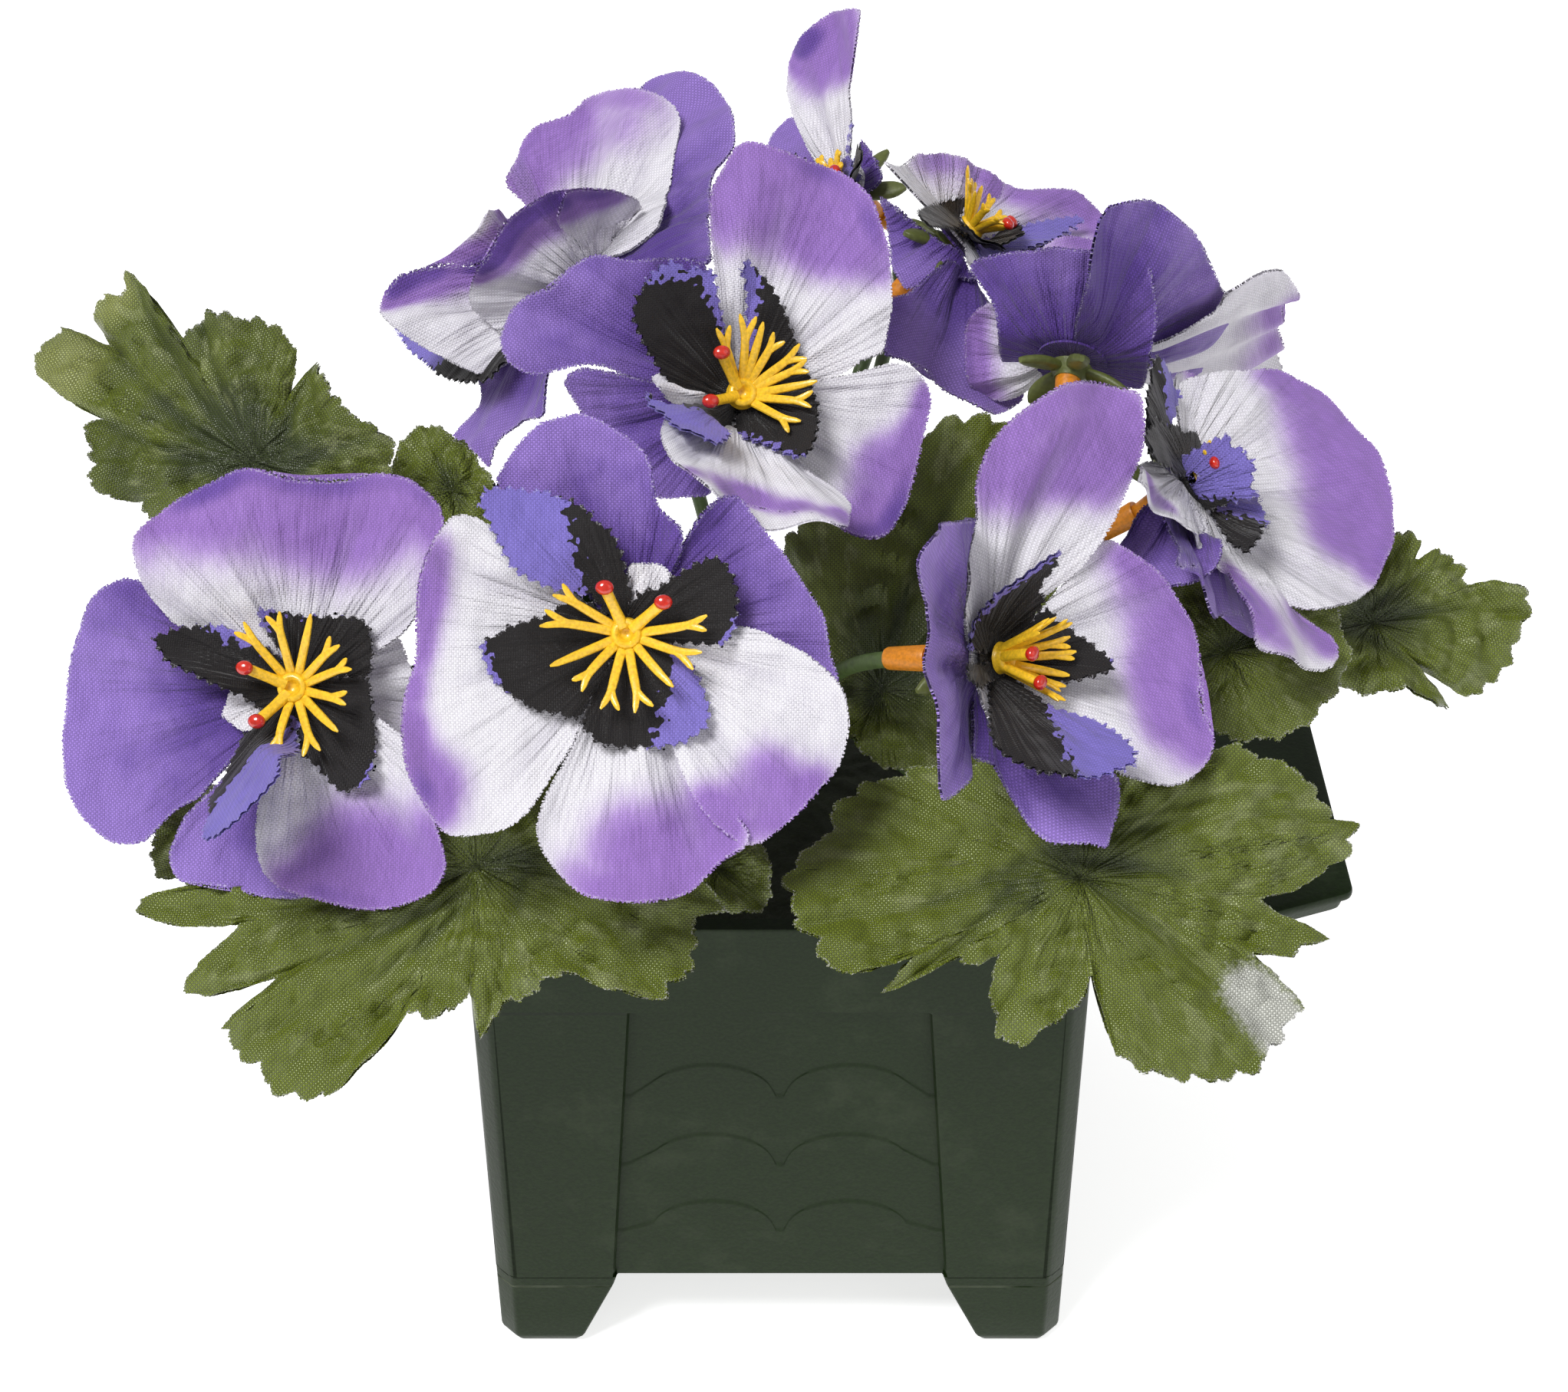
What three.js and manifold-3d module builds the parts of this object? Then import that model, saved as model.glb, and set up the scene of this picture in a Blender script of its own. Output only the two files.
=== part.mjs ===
// Artificial pansy arrangement in a square plastic planter.
// Millimetres, +Z up. The flowers face -Y. Nine fabric flower heads and nine fabric leaves stand on
// one branched plastic stem, whose trunk is pushed into a block of foam inside the planter.

import * as THREE from "three";
import { mergeVertices } from "three/addons/utils/BufferGeometryUtils.js";
import Module from "manifold-3d";

const wasm = await Module();
wasm.setup();

// Clearance between neighbouring pieces, and thickness of the fabric
const GAP = 0.3;
const FABRIC = 0.6;

// Planter box
const BOX_SIDE = 100;
const BOX_HEIGHT = 95;
const BOX_FOOT_SIDE = 98.5;
const CORNER_CUT = 3;
const WALL = 3;
const FOOT_HEIGHT = 16;
const FOOT_BEVEL = 2;
const FLOOR_THICKNESS = 3;
const FOOT_WIDTH_TOP = 21;
const FOOT_WIDTH_BOTTOM = 14;

// Recessed panels with their stepped scalloped bands
const PANEL_DEPTH = 1.8;
const PANEL_TOP = BOX_HEIGHT - 17.6;
const PANEL_BOTTOM = BOX_HEIGHT - 78.7;
const PANEL_TOP_HALF = 24.5;
const PANEL_BOTTOM_HALF = 29;
const BAND_STEP = 0.45;
const BAND_HEIGHTS = [57.8, 42.3, 26.8];
const ARCH_RISE = 7;
const ARCH_HALF = 10.5;
const ARCH_CENTRE = 11.5;
const ARCH_STEPS = 5;

// Side plates
const WING_TOP = 85;
const WING_THICKNESS = 2;
const WING_LIP = 2.4;
const WING_REACH = 95;
const WING_TIP_HALF = 28;
const WING_ROOT_HALF = 47;

// Foam block and trunk
const FOAM_TOP = 88;
const TRUNK_RADIUS = 6;
const TRUNK_FOOT = 40;
const TRUNK_TOP = 96;
const STEM_ROOT_HEIGHT = 92;
const STEM_RING = 4.3;
const STEM_RADIUS = 1.4;
const STALK_RADIUS = 1.1;
const STEM_STEPS = 5;
const STALK_STEPS = 4;

// Stamen plug on the axis of each head
const SHAFT_RADIUS = 1.1;
const HOLE_RADIUS = 1.8;
const FLANGE_RADIUS = 3;
const FLANGE_BACK = 3.3;
const FLANGE_FRONT = 4.7;
const PLUG_SIDES = 6;
const PEG_FRONT = -1.9;
const PEG_BACK = -10;
const PEG_FRONT_RADIUS = 2.3;

// Fabric layers of a head: height of the layer on the axis, radius of its hub, and petal grid
const LAYERS = {
  violet: { height: 0.6, hub: 5.8, rows: 4, columns: 3, wave: 1 },
  white: { height: 1.6, hub: 5, rows: 4, columns: 3, wave: 1.2 },
  eye: { height: 2.6, hub: 4.2, rows: 3, columns: 2, wave: 0.4 },
};

// Calyx behind each head
const CALYX_HEIGHT = -0.7;
const CALYX_SLOPE = 0.15;
const SEPALS = 5;
const SEPAL_OUTLINE = [[0, 4.5], [18, 8.5], [30, 11], [42, 11], [54, 8.5]];

// Flower heads. A head has its centre, the compass turn and the lift of the way that it faces, and its
// petals. A petal is its turn around the head, length, half width, rise, bend and twist, in degrees and
// millimetres. Stamens spread around the turn called fan, and climb by rise for each millimetre outward.
const HEADS = [
  {
    name: "b", centre: [-22.3, -46.5, 148.4], turn: 0, lift: 36,
    stamens: { fan: 270, rise: 0.5, count: 7 },
    violet: [[102, 33, 13.5, 1, 4, 1], [16, 29.5, 16, 1, -4, 0]],
    white: [[197, 34, 22, 10, 8, -4], [274, 40, 15.5, 3, 2, -5], [331, 36.5, 16, 1, 2, 1]],
    eye: [[129, 27, 9, 9, 4, 5], [21, 18.5, 7.5, 10, 4, 1],
      [191, 21.5, 8, 12, 2, -1], [288, 18.5, 10, 5, 2, -4]],
  },
  {
    name: "a", centre: [-72.4, -41.3, 135], turn: -10, lift: 38,
    stamens: { fan: 0, rise: 0.5, count: 7 },
    violet: [[197, 35.5, 18.5, 6, 6, -12], [251, 35, 12, 0, -8, -6]],
    white: [[91, 32.5, 22.5, 3, 8, 15], [23, 27, 16, -22, -8, 13], [300, 36.5, 14.5, -2, 4, -12]],
    eye: [[170, 22, 4.5, 16, 4, 30], [239, 22.5, 5, 7, 4, 55],
      [68, 20.5, 9, 7, 4, 12], [351, 12.5, 10, 2, 0, 3]],
  },
  {
    name: "d", centre: [30.1, -42.7, 141.7], turn: 60, lift: 19,
    stamens: { fan: 0, rise: 2.0, count: 7 },
    violet: [[153, 28, 20, 16, -8, 1], [253, 33, 9.5, 26, 4, 45]],
    white: [[44, 44, 12.5, 9, 12, -28], [322, 35, 18, 40, 6, -12], [247, 27.5, 10, 52, 4, 7]],
    eye: [[41, 17, 5.5, 37, 4, -9], [321, 18, 5, 55, 4, -20],
      [261, 26.5, 8, 56, 4, 20], [216, 21.5, 6, 32, 4, 11]],
  },
  {
    name: "c", centre: [-6.5, -3.8, 164.1], turn: 14, lift: 42,
    stamens: { fan: 45, rise: 0.7, count: 7 },
    violet: [[155, 39, 9.5, -3, 6, -6], [210, 24, 14, -7, -6, -10]],
    white: [[65, 41, 14, 8, 6, 4], [330, 31.5, 14, 2, 4, -4], [256, 27, 14, 36, 10, -9]],
    eye: [[120, 25, 8.5, 11, 4, -3], [70, 21, 4.5, 18, 4, 14],
      [183, 17, 5, 21, 4, 42], [302, 14, 8, 19, 4, -5]],
  },
  {
    name: "e", centre: [64.3, -4.7, 148.9], turn: 75, lift: 40,
    stamens: { fan: 0, rise: 1.3, count: 7 },
    violet: [[189, 23, 9, -11, -4, 64], [242, 36.5, 7, 19, -14, 9]],
    white: [[0, 29.5, 13, 15, 10, -23], [293, 33.5, 18.5, 35, 4, 25], [206, 25, 8, 12, -10, 2]],
    eye: [[62, 18, 5, 5, 4, -23], [19, 12, 6, 22, 4, -33],
      [317, 13, 6, 42, 4, -1], [240, 17, 6.5, 18, 4, 35]],
  },
  {
    name: "j", centre: [47.6, 15.5, 160.4], turn: 165, lift: 30,
    stamens: { fan: 0, rise: 2.0, count: 5 },
    violet: [[36, 17.5, 11, 18, -4, 70], [176, 35, 14, 63, -2, -71]],
    white: [[347, 19, 9, -5, 4, 39], [199, 41.5, 7, 35, 10, -81], [274, 32, 11, 67, 8, -6]],
    eye: [[351, 13.5, 5, 34, 4, 77], [213, 18, 6, 54, 4, -82],
      [40, 14, 5, 30, 4, 0], [120, 13, 5, 30, 4, 0]],
  },
  {
    name: "f", centre: [30.1, 47.8, 166.3], turn: 100, lift: 42,
    stamens: { fan: 0, rise: 1.6, count: 5 },
    violet: [[194, 31, 12, -26, -6, 31], [147, 16.5, 9, -55, -10, 36]],
    white: [[38, 19.5, 8, -8, 10, -36], [311, 27, 13, 37, 6, -40], [235, 27.5, 12, 35, 8, 22]],
    eye: [[40, 12.5, 5, 10, 4, -20], [334, 12.5, 6, 40, 4, -10],
      [238, 10, 6, 45, 4, 13], [168, 14, 5, 10, 4, 18]],
  },
  {
    name: "h", centre: [-33.9, 34.6, 166.6], turn: -60, lift: 50,
    stamens: { fan: 180, rise: 1.4, count: 5 },
    violet: [[115, 44.5, 12, -14, 8, 77], [290, 35, 7.5, 1, -16, 69]],
    white: [[260, 32.5, 8, 39, -6, -49], [56, 18.5, 13, 50, -6, -64], [129, 34.5, 13.5, 1, 10, 35]],
    eye: [[250, 31.5, 6, 46, -6, -49], [212, 11, 5, 42, 4, -21],
      [128, 17.5, 6, 12, 4, 30], [330, 16, 5, 12, 4, -25]],
  },
  {
    name: "g", centre: [11.9, 71, 164.7], turn: -60, lift: 40,
    stamens: { fan: 180, rise: 1.6, count: 5 },
    violet: [[177, 27, 7, 2, 0, -71], [149, 32, 7, -36, 0, 5]],
    white: [[129, 33.5, 12, 10, 6, -87], [296, 21.5, 11, 31, 6, -47], [314, 28, 10, -18, 8, -73]],
    eye: [[117, 14, 4.5, 30, 4, -40], [296, 11, 5, 43, 4, -40],
      [30, 14, 5, 30, 4, 0], [210, 13, 5, 30, 4, 0]],
  },
];

// Leaves. A leaf has its centre, the way that it faces, its outline as turn and radius about the centre,
// the turn of its midrib, and how much it droops.
const LEAVES = [
  {
    name: "leaf_front_left", stem: "b", centre: [-46, -56.7, 113], turn: -5, lift: 45,
    midrib: 200, droop: 1.5,
    outline: [[354, 38.5], [348, 35], [339, 36], [328, 36], [317, 22.5], [304, 21], [286, 22],
      [276, 25.5], [273, 19.5], [262, 23.5], [250, 24], [247, 32], [243, 39.5], [238, 43], [230, 45],
      [220, 46.5], [216, 45], [213, 33], [209, 46], [207, 48.5], [203, 47.5], [200, 42.5], [197, 36],
      [194, 48], [190, 53], [188, 51], [186, 37.5], [164, 25], [30, 18], [5, 32.5]],
  },
  {
    name: "leaf_front_right", stem: "d", centre: [45.6, -57.7, 111.6], turn: 5, lift: 45,
    midrib: 330, droop: 1.5,
    outline: [[2, 42.5], [8, 44.5], [10, 39.5], [16, 40], [25, 38], [28, 34], [37, 31.5], [58, 18],
      [134, 25], [151, 36], [168, 40], [171, 44], [187, 44.5], [194, 42.5], [200, 39], [202, 28],
      [207, 37], [209, 24], [216, 22], [219, 17], [227, 22.5], [238, 27], [246, 27], [265, 18.5],
      [271, 15.5], [276, 28], [286, 31], [297, 36.5], [316, 39.5], [326, 38.5], [331, 34], [333, 28],
      [337, 35.5], [344, 39.5], [347, 31], [351, 27.5], [355, 35.5]],
  },
  {
    name: "leaf_left_back", stem: "h", centre: [-84.6, 1.2, 150.3], turn: -15, lift: 45,
    midrib: 150, droop: 1,
    outline: [[8, 23.5], [16, 24], [30, 18], [56, 17.5], [68, 19.5], [71, 12], [81, 19.5], [89, 22],
      [106, 24], [122, 25.5], [131, 24.5], [133, 33], [135, 40], [140, 38], [143, 41.5], [149, 42],
      [152, 34.5], [155, 44], [167, 44.5], [173, 28.5], [202, 25.5], [209, 20.5], [283, 12.5],
      [341, 22.5]],
  },
  {
    name: "leaf_right", stem: "e", centre: [98.8, -0.1, 119.8], turn: 15, lift: 42, midrib: 0, droop: 1,
    outline: [[65, 15.5], [54, 17.5], [49, 17], [46, 13], [36, 18], [25, 19], [12, 17.5], [9, 24.5],
      [1, 27.5], [354, 27.5], [346, 26], [328, 24.5], [314, 20.5], [308, 9], [302, 19.5], [279, 12],
      [226, 12.5], [188, 21.5], [155, 23.5], [118, 15]],
  },
  {
    name: "leaf_right_inner", stem: "e", centre: [71.3, -19.8, 127.3], turn: 20, lift: 50,
    midrib: 200, droop: 1,
    outline: [[328, 19], [315, 17.5], [295, 17], [272, 15.5], [241, 14], [212, 20], [179, 21.5],
      [143, 17.5], [89, 14.5], [27, 18.5], [352, 21.5]],
  },
  {
    name: "leaf_centre", stem: "c", centre: [16.5, -20, 120], turn: 0, lift: 42, midrib: 65, droop: 0.5,
    outline: [[80, 41.5], [75, 47.5], [65, 51], [51, 45.5], [31, 33.5], [0, 22], [303, 20], [292, 14.5],
      [239, 9.5], [195, 14], [144, 21.5], [116, 30.5], [96, 33]],
  },
  {
    name: "leaf_left_inner", stem: "a", centre: [-53.2, 3.5, 143.2], turn: -10, lift: 45,
    midrib: 120, droop: 0.5,
    outline: [[157, 11], [136, 12.5], [116, 12.5], [98, 9], [47, 6], [5, 8], [326, 12], [284, 13],
      [227, 11.5]],
  },
  {
    name: "leaf_front_middle", stem: "b", centre: [-10.2, -48.8, 106.8], turn: 0, lift: 50,
    midrib: 330, droop: 0.5,
    outline: [[345, 9.5], [321, 10.5], [295, 8.5], [249, 6.5], [188, 8.5], [135, 8.5], [72, 7.5],
      [16, 8.5]],
  },
  {
    name: "leaf_left_tip", stem: "a", centre: [-87.5, -42.1, 106], turn: -20, lift: 45,
    midrib: 215, droop: 0.5,
    outline: [[156, 10.5], [186, 11.5], [215, 12.5], [237, 8.5], [321, 9.5], [12, 11.5], [70, 8.5]],
  },
];

const COLOURS = {
  planter: 0x303a2d, foam: 0x4a4433, stem: 0x6b7a3a, violet: 0x5b3a9c, white: 0xe6e2ec,
  eye: 0x2a2430, stamen: 0xe0b428, calyx: 0x59602a, leaf: 0x5f7330,
};

const radians = THREE.MathUtils.degToRad;

// Solid from an indexed list of points. Faces that point inward are turned over.
function solidFromFaces(points, faces) {
  let volume = 0;
  for (const [a, b, c] of faces) {
    volume += points[a].dot(points[b].clone().cross(points[c]));
  }
  const triVerts = new Uint32Array(volume > 0 ? faces.flat() : faces.map(([a, b, c]) => [a, c, b]).flat());
  const vertProperties = new Float32Array(points.flatMap((point) => point.toArray()));
  return new wasm.Manifold(new wasm.Mesh({ numProp: 3, vertProperties, triVerts }));
}

// Solid from a closed three.js geometry
function solidFromGeometry(geometry) {
  const bare = geometry.clone();
  bare.deleteAttribute("normal");
  bare.deleteAttribute("uv");
  const merged = mergeVertices(bare, 1e-4);
  const position = merged.getAttribute("position");
  const points = [];
  for (let i = 0; i < position.count; i++) {
    points.push(new THREE.Vector3().fromBufferAttribute(position, i));
  }
  const faces = [];
  for (let i = 0; i < merged.index.count; i += 3) {
    const face = [merged.index.getX(i), merged.index.getX(i + 1), merged.index.getX(i + 2)];
    if (new Set(face).size === 3) {
      faces.push(face);
    }
  }
  return solidFromFaces(points, faces);
}

function geometryFromSolid(solid) {
  const mesh = solid.getMesh();
  const geometry = new THREE.BufferGeometry();
  geometry.setAttribute("position", new THREE.BufferAttribute(Float32Array.from(mesh.vertProperties), 3));
  geometry.setIndex(new THREE.BufferAttribute(Uint32Array.from(mesh.triVerts), 1));
  geometry.computeVertexNormals();
  return geometry;
}

function join(solids) {
  return solids.reduce((sum, solid) => sum.add(solid));
}

// Largest of the bodies that a solid falls into
function largestBody(solid) {
  const bodies = solid.decompose();
  return bodies.reduce((best, body) => (body.volume() > best.volume() ? body : best));
}

// Solid through a stack of rings with equal numbers of points, with flat ends
function loft(rings) {
  const count = rings[0].length;
  const points = rings.flat();
  const flat = rings[0].map((point) => new THREE.Vector2(point.x, point.y));
  const ends = THREE.ShapeUtils.triangulateShape(flat, []);
  const clockwise = THREE.ShapeUtils.isClockWise(ends[0].map((i) => flat[i]));
  const ringClockwise = THREE.ShapeUtils.isClockWise(flat);
  const top = (rings.length - 1) * count;
  const faces = [];
  for (const [a, b, c] of ends) {
    faces.push(clockwise === ringClockwise ? [a, c, b] : [a, b, c]);
    faces.push(clockwise === ringClockwise ? [top + a, top + b, top + c] : [top + a, top + c, top + b]);
  }
  for (let level = 0; level < rings.length - 1; level++) {
    for (let i = 0; i < count; i++) {
      const a = level * count + i;
      const b = level * count + ((i + 1) % count);
      faces.push([a, b, b + count]);
      faces.push([a, b + count, a + count]);
    }
  }
  return solidFromFaces(points, faces);
}

function ringAt(outline, z) {
  return outline.map(([x, y]) => new THREE.Vector3(x, y, z));
}

// Outline of a square with its corners cut at 45 degrees
function cutSquare(half, cut) {
  const near = half - cut;
  return [[near, -half], [half, -near], [half, near], [near, half],
    [-near, half], [-half, near], [-half, -near], [-near, -half]];
}

function box(low, high) {
  const [x0, y0, z0] = low;
  const [x1, y1, z1] = high;
  const outline = [[x0, y0], [x1, y0], [x1, y1], [x0, y1]];
  return loft([ringAt(outline, z0), ringAt(outline, z1)]);
}

// Solid turned about Z from a profile of [radius, height] points. A profile with a bore closes on itself.
function turned(profile, sides) {
  const points = profile.map(([radius, height]) => new THREE.Vector2(radius, height));
  return new THREE.LatheGeometry(points, sides).rotateX(Math.PI / 2);
}

function tube(curve, radius, sides, steps) {
  const section = new THREE.Shape();
  for (let i = 0; i < sides; i++) {
    const angle = (2 * Math.PI * i) / sides;
    section.lineTo(radius * Math.cos(angle), radius * Math.sin(angle));
  }
  return new THREE.ExtrudeGeometry(section, { steps, bevelEnabled: false, extrudePath: curve });
}

// Matrix of a head or leaf: X to its right, Y up along its face, Z out of its face
function facing({ centre, turn, lift }) {
  const az = radians(turn);
  const el = radians(lift);
  const out = new THREE.Vector3(Math.sin(az) * Math.cos(el), -Math.cos(az) * Math.cos(el), Math.sin(el));
  const right = new THREE.Vector3(Math.cos(az), Math.sin(az), 0);
  const up = out.clone().cross(right);
  return new THREE.Matrix4().makeBasis(right, up, out).setPosition(...centre);
}

// Sheet of fabric: a middle surface given thickness along its own normals, with both faces divided
// alike and a wall along every edge that belongs to one face only. Where it is fatter than the fabric,
// its edges also stand out by the same amount.
function sheetSolid(middle, faces, thickness) {
  const grow = Math.max(thickness - FABRIC, 0) / 2;
  const normals = middle.map(() => new THREE.Vector3());
  const edges = new Set();
  for (const [a, b, c] of faces) {
    const across = middle[b].clone().sub(middle[a]);
    const normal = across.cross(middle[c].clone().sub(middle[a]));
    for (const i of [a, b, c]) {
      normals[i].add(normal);
    }
    for (const edge of [[a, b], [b, c], [c, a]]) {
      edges.add(edge.join());
    }
  }
  normals.forEach((normal) => normal.normalize());
  const count = middle.length;
  const all = faces.flatMap(([a, b, c]) => [[a, b, c], [count + a, count + c, count + b]]);
  const outward = middle.map(() => new THREE.Vector3());
  for (const edge of edges) {
    const [a, b] = edge.split(",").map(Number);
    if (!edges.has(`${b},${a}`)) {
      all.push([b, a, count + a], [b, count + a, count + b]);
      for (const i of [a, b]) {
        outward[i].add(middle[b].clone().sub(middle[a]).normalize().cross(normals[i]));
      }
    }
  }
  const rimmed = middle.map((point, i) => point.clone().addScaledVector(outward[i].normalize(), grow));
  const front = rimmed.map((point, i) => point.clone().addScaledVector(normals[i], thickness / 2));
  const back = rimmed.map((point, i) => point.clone().addScaledVector(normals[i], -thickness / 2));
  return solidFromFaces([...front, ...back], all);
}

// Triangles between two closed rings about an axis. A ring is a list of [point number, turn], and both
// are sorted by turn. Each outer edge takes the inner point nearest to its own turn.
function bridge(inner, outer) {
  const nearest = (turn) => {
    const apart = (i) => Math.abs(((inner[i][1] - turn + 540) % 360) - 180);
    return inner.reduce((best, _, i) => (apart(i) < apart(best) ? i : best), 0);
  };
  const faces = [];
  const fan = outer.map(([, turn], j) => {
    const ahead = (outer[(j + 1) % outer.length][1] - turn + 360) % 360;
    return nearest((turn + ahead / 2) % 360);
  });
  outer.forEach(([a], j) => {
    const next = (j + 1) % outer.length;
    const [b] = outer[next];
    faces.push([inner[fan[j]][0], a, b]);
    for (let i = fan[j]; i !== fan[next]; i = (i + 1) % inner.length) {
      faces.push([inner[i][0], b, inner[(i + 1) % inner.length][0]]);
    }
  });
  return faces;
}

// Half width of a petal along its length, as a share of its widest: a quarter sine to the widest place,
// then a rounded end
const PETAL_ROOT = 0.15;
const PETAL_WIDEST = 0.62;
function petalWidth(along) {
  const rise = Math.sin((Math.min(along / PETAL_WIDEST, 1) * Math.PI) / 2);
  const end = Math.max((along - PETAL_WIDEST) / (1 - PETAL_WIDEST), 0);
  return (PETAL_ROOT + (1 - PETAL_ROOT) * rise) * Math.sqrt(1 - end ** 2.2);
}

// Angles that a petal may fill on its two sides before it meets the next petal of its layer
const WIDEST_SECTOR = 75;
const SECTOR_GAP = 2;
function sectorOf(petals, index) {
  const room = { left: WIDEST_SECTOR, right: WIDEST_SECTOR };
  petals.forEach(([turn], i) => {
    if (i !== index) {
      const ahead = (turn - petals[index][0] + 360) % 360;
      room.left = Math.min(room.left, ahead / 2 - SECTOR_GAP);
      room.right = Math.min(room.right, (360 - ahead) / 2 - SECTOR_GAP);
    }
  });
  return { left: Math.tan(radians(room.left)), right: Math.tan(radians(room.right)) };
}

// Point at a share of an arc that starts at the origin with a slope and bends evenly
function arcPoint(length, slope, bend, share) {
  const end = slope + bend * share;
  const unit = new THREE.Vector2(Math.sin(end) - Math.sin(slope), Math.cos(slope) - Math.cos(end));
  return unit.multiplyScalar(length / bend);
}

// Point of a petal in its head's frame. The middle line is an arc from the hub to the tip. Across it the
// petal is cupped, waved towards the tip and twisted.
const PETAL_CUP = 0.15;
function petalPoint(petal, layer, sector, phase, along, across) {
  const [turn, length, halfWidth, riseAngle, bendAngle, twistAngle] = petal;
  const bend = radians(bendAngle || 0.1);
  const tip = arcPoint(length, radians(riseAngle), bend, 1);
  const start = layer.hub - 0.8;
  const chord = Math.hypot(tip.x - start, tip.y);
  const arcLength = (chord * (bend / 2)) / Math.sin(bend / 2);
  const rise = Math.atan2(tip.y, tip.x - start) - bend / 2;
  const middle = arcPoint(arcLength, rise, bend, along);
  const slope = rise + bend * along;
  const ease = Math.min(along / 0.45, 1);
  const twist = radians(twistAngle) * ease * ease * (3 - 2 * ease);
  const room = ((start + middle.x) * (across > 0 ? sector.left : sector.right)) / Math.cos(twist);
  const side = across * Math.min(halfWidth * petalWidth(along), room);
  const wave = layer.wave * along ** 1.5 * Math.sin(1.5 * Math.PI * across + phase);
  const lift = side * Math.sin(twist) + (PETAL_CUP * side * side) / halfWidth + wave;
  const out = start + middle.x - lift * Math.sin(slope);
  const flat = side * Math.cos(twist);
  const angle = radians(turn);
  return new THREE.Vector3(
    out * Math.cos(angle) - flat * Math.sin(angle),
    out * Math.sin(angle) + flat * Math.cos(angle),
    layer.height + middle.y + lift * Math.cos(slope),
  );
}

// Even ring of points around a head's axis, as points and as [point number, turn] entries
function evenRing(radius, height, sides) {
  const turns = Array.from({ length: sides }, (_, i) => (360 * i) / sides);
  const points = turns.map((turn) => polar(turn, radius, height));
  return { points, ring: turns.map((turn, i) => [i, turn]) };
}

function polar(turn, radius, height) {
  return new THREE.Vector3(radius * Math.cos(radians(turn)), radius * Math.sin(radians(turn)), height);
}

// A layer of a head in one sheet: a flat hub with a hole for the plug, and petals that leave its edge.
// Each petal is a grid of rows along it and columns across it. Where no petal leaves the hub, extra
// points keep its edge round.
const HOLE_SIDES = 6;
const HUB_STEP = 40;
function petalLayer(head, kind, thickness) {
  const layer = LAYERS[kind];
  const { rows, columns } = layer;
  const hole = evenRing(HOLE_RADIUS, layer.height, HOLE_SIDES);
  const middle = hole.points;
  const faces = [];
  const edge = [];
  head[kind].forEach((petal, index) => {
    const sector = sectorOf(head[kind], index);
    const first = middle.length;
    for (let i = 0; i <= rows; i++) {
      const along = 0.995 * Math.sin((Math.PI / 2) * (i / rows));
      for (let j = 0; j <= columns; j++) {
        middle.push(petalPoint(petal, layer, sector, 2.1 * index, along, (2 * j) / columns - 1));
      }
    }
    const at = (i, j) => first + i * (columns + 1) + j;
    for (let i = 0; i < rows; i++) {
      for (let j = 0; j < columns; j++) {
        faces.push([at(i, j), at(i + 1, j), at(i + 1, j + 1)], [at(i, j), at(i + 1, j + 1), at(i, j + 1)]);
      }
    }
    for (let j = 0; j <= columns; j++) {
      const { x, y } = middle[at(0, j)];
      edge.push([at(0, j), (THREE.MathUtils.radToDeg(Math.atan2(y, x)) + 360) % 360]);
    }
  });
  edge.sort((a, b) => a[1] - b[1]);
  const filled = [];
  edge.forEach((entry, i) => {
    filled.push(entry);
    const gap = (edge[(i + 1) % edge.length][1] - entry[1] + 360) % 360;
    const extra = Math.floor(gap / HUB_STEP);
    for (let k = 1; k <= extra; k++) {
      const turn = (entry[1] + (gap * k) / (extra + 1)) % 360;
      filled.push([middle.length, turn]);
      middle.push(polar(turn, layer.hub, layer.height));
    }
  });
  filled.sort((a, b) => a[1] - b[1]);
  faces.push(...bridge(hole.ring, filled));
  const matrix = facing(head);
  return sheetSolid(middle.map((point) => point.applyMatrix4(matrix)), faces, thickness);
}

// Star-like sheet given as turns and radii about its centre. It starts at an even ring that is open, or
// closed by a flat middle. Further rings are shares of the way to the outline, the last one 1.
function starSolid({ outline, rings, heightAt, inner, sides, open, matrix, thickness }) {
  const sorted = outline.map(([turn, radius]) => [(turn + 720) % 360, radius]).sort((a, b) => a[0] - b[0]);
  const start = evenRing(inner, heightAt(0, inner), sides);
  const middle = start.points;
  const faces = [];
  if (!open) {
    middle.push(polar(0, 0, heightAt(0, inner)));
    start.ring.forEach(([a], i) => faces.push([sides, a, (i + 1) % sides]));
  }
  let last = start.ring;
  for (const share of rings) {
    const ring = sorted.map(([turn], i) => [middle.length + i, turn]);
    middle.push(...sorted.map(([turn, radius]) => {
      const reach = inner + (radius - inner) * share;
      return polar(turn, reach, heightAt(turn, reach));
    }));
    faces.push(...bridge(last, ring));
    last = ring;
  }
  return sheetSolid(middle.map((point) => point.applyMatrix4(matrix)), faces, thickness);
}

// Plug that pins the fabric layers together: flange in front, shaft through the layers, and behind them
// the peg that the stem is pushed into
function plugCore(head, extra) {
  const back = PEG_BACK - extra;
  const shaft = SHAFT_RADIUS + extra / 2;
  const profile = [
    [0, back], [SHAFT_RADIUS + extra, back], [PEG_FRONT_RADIUS + extra, PEG_FRONT + extra],
    [shaft, PEG_FRONT + extra], [shaft, FLANGE_BACK - extra],
    [FLANGE_RADIUS + extra, FLANGE_BACK - extra], [FLANGE_RADIUS - 0.4 + extra, FLANGE_FRONT + extra],
    [0, FLANGE_FRONT + extra],
  ];
  return solidFromGeometry(turned(profile, PLUG_SIDES).applyMatrix4(facing(head)));
}

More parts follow.
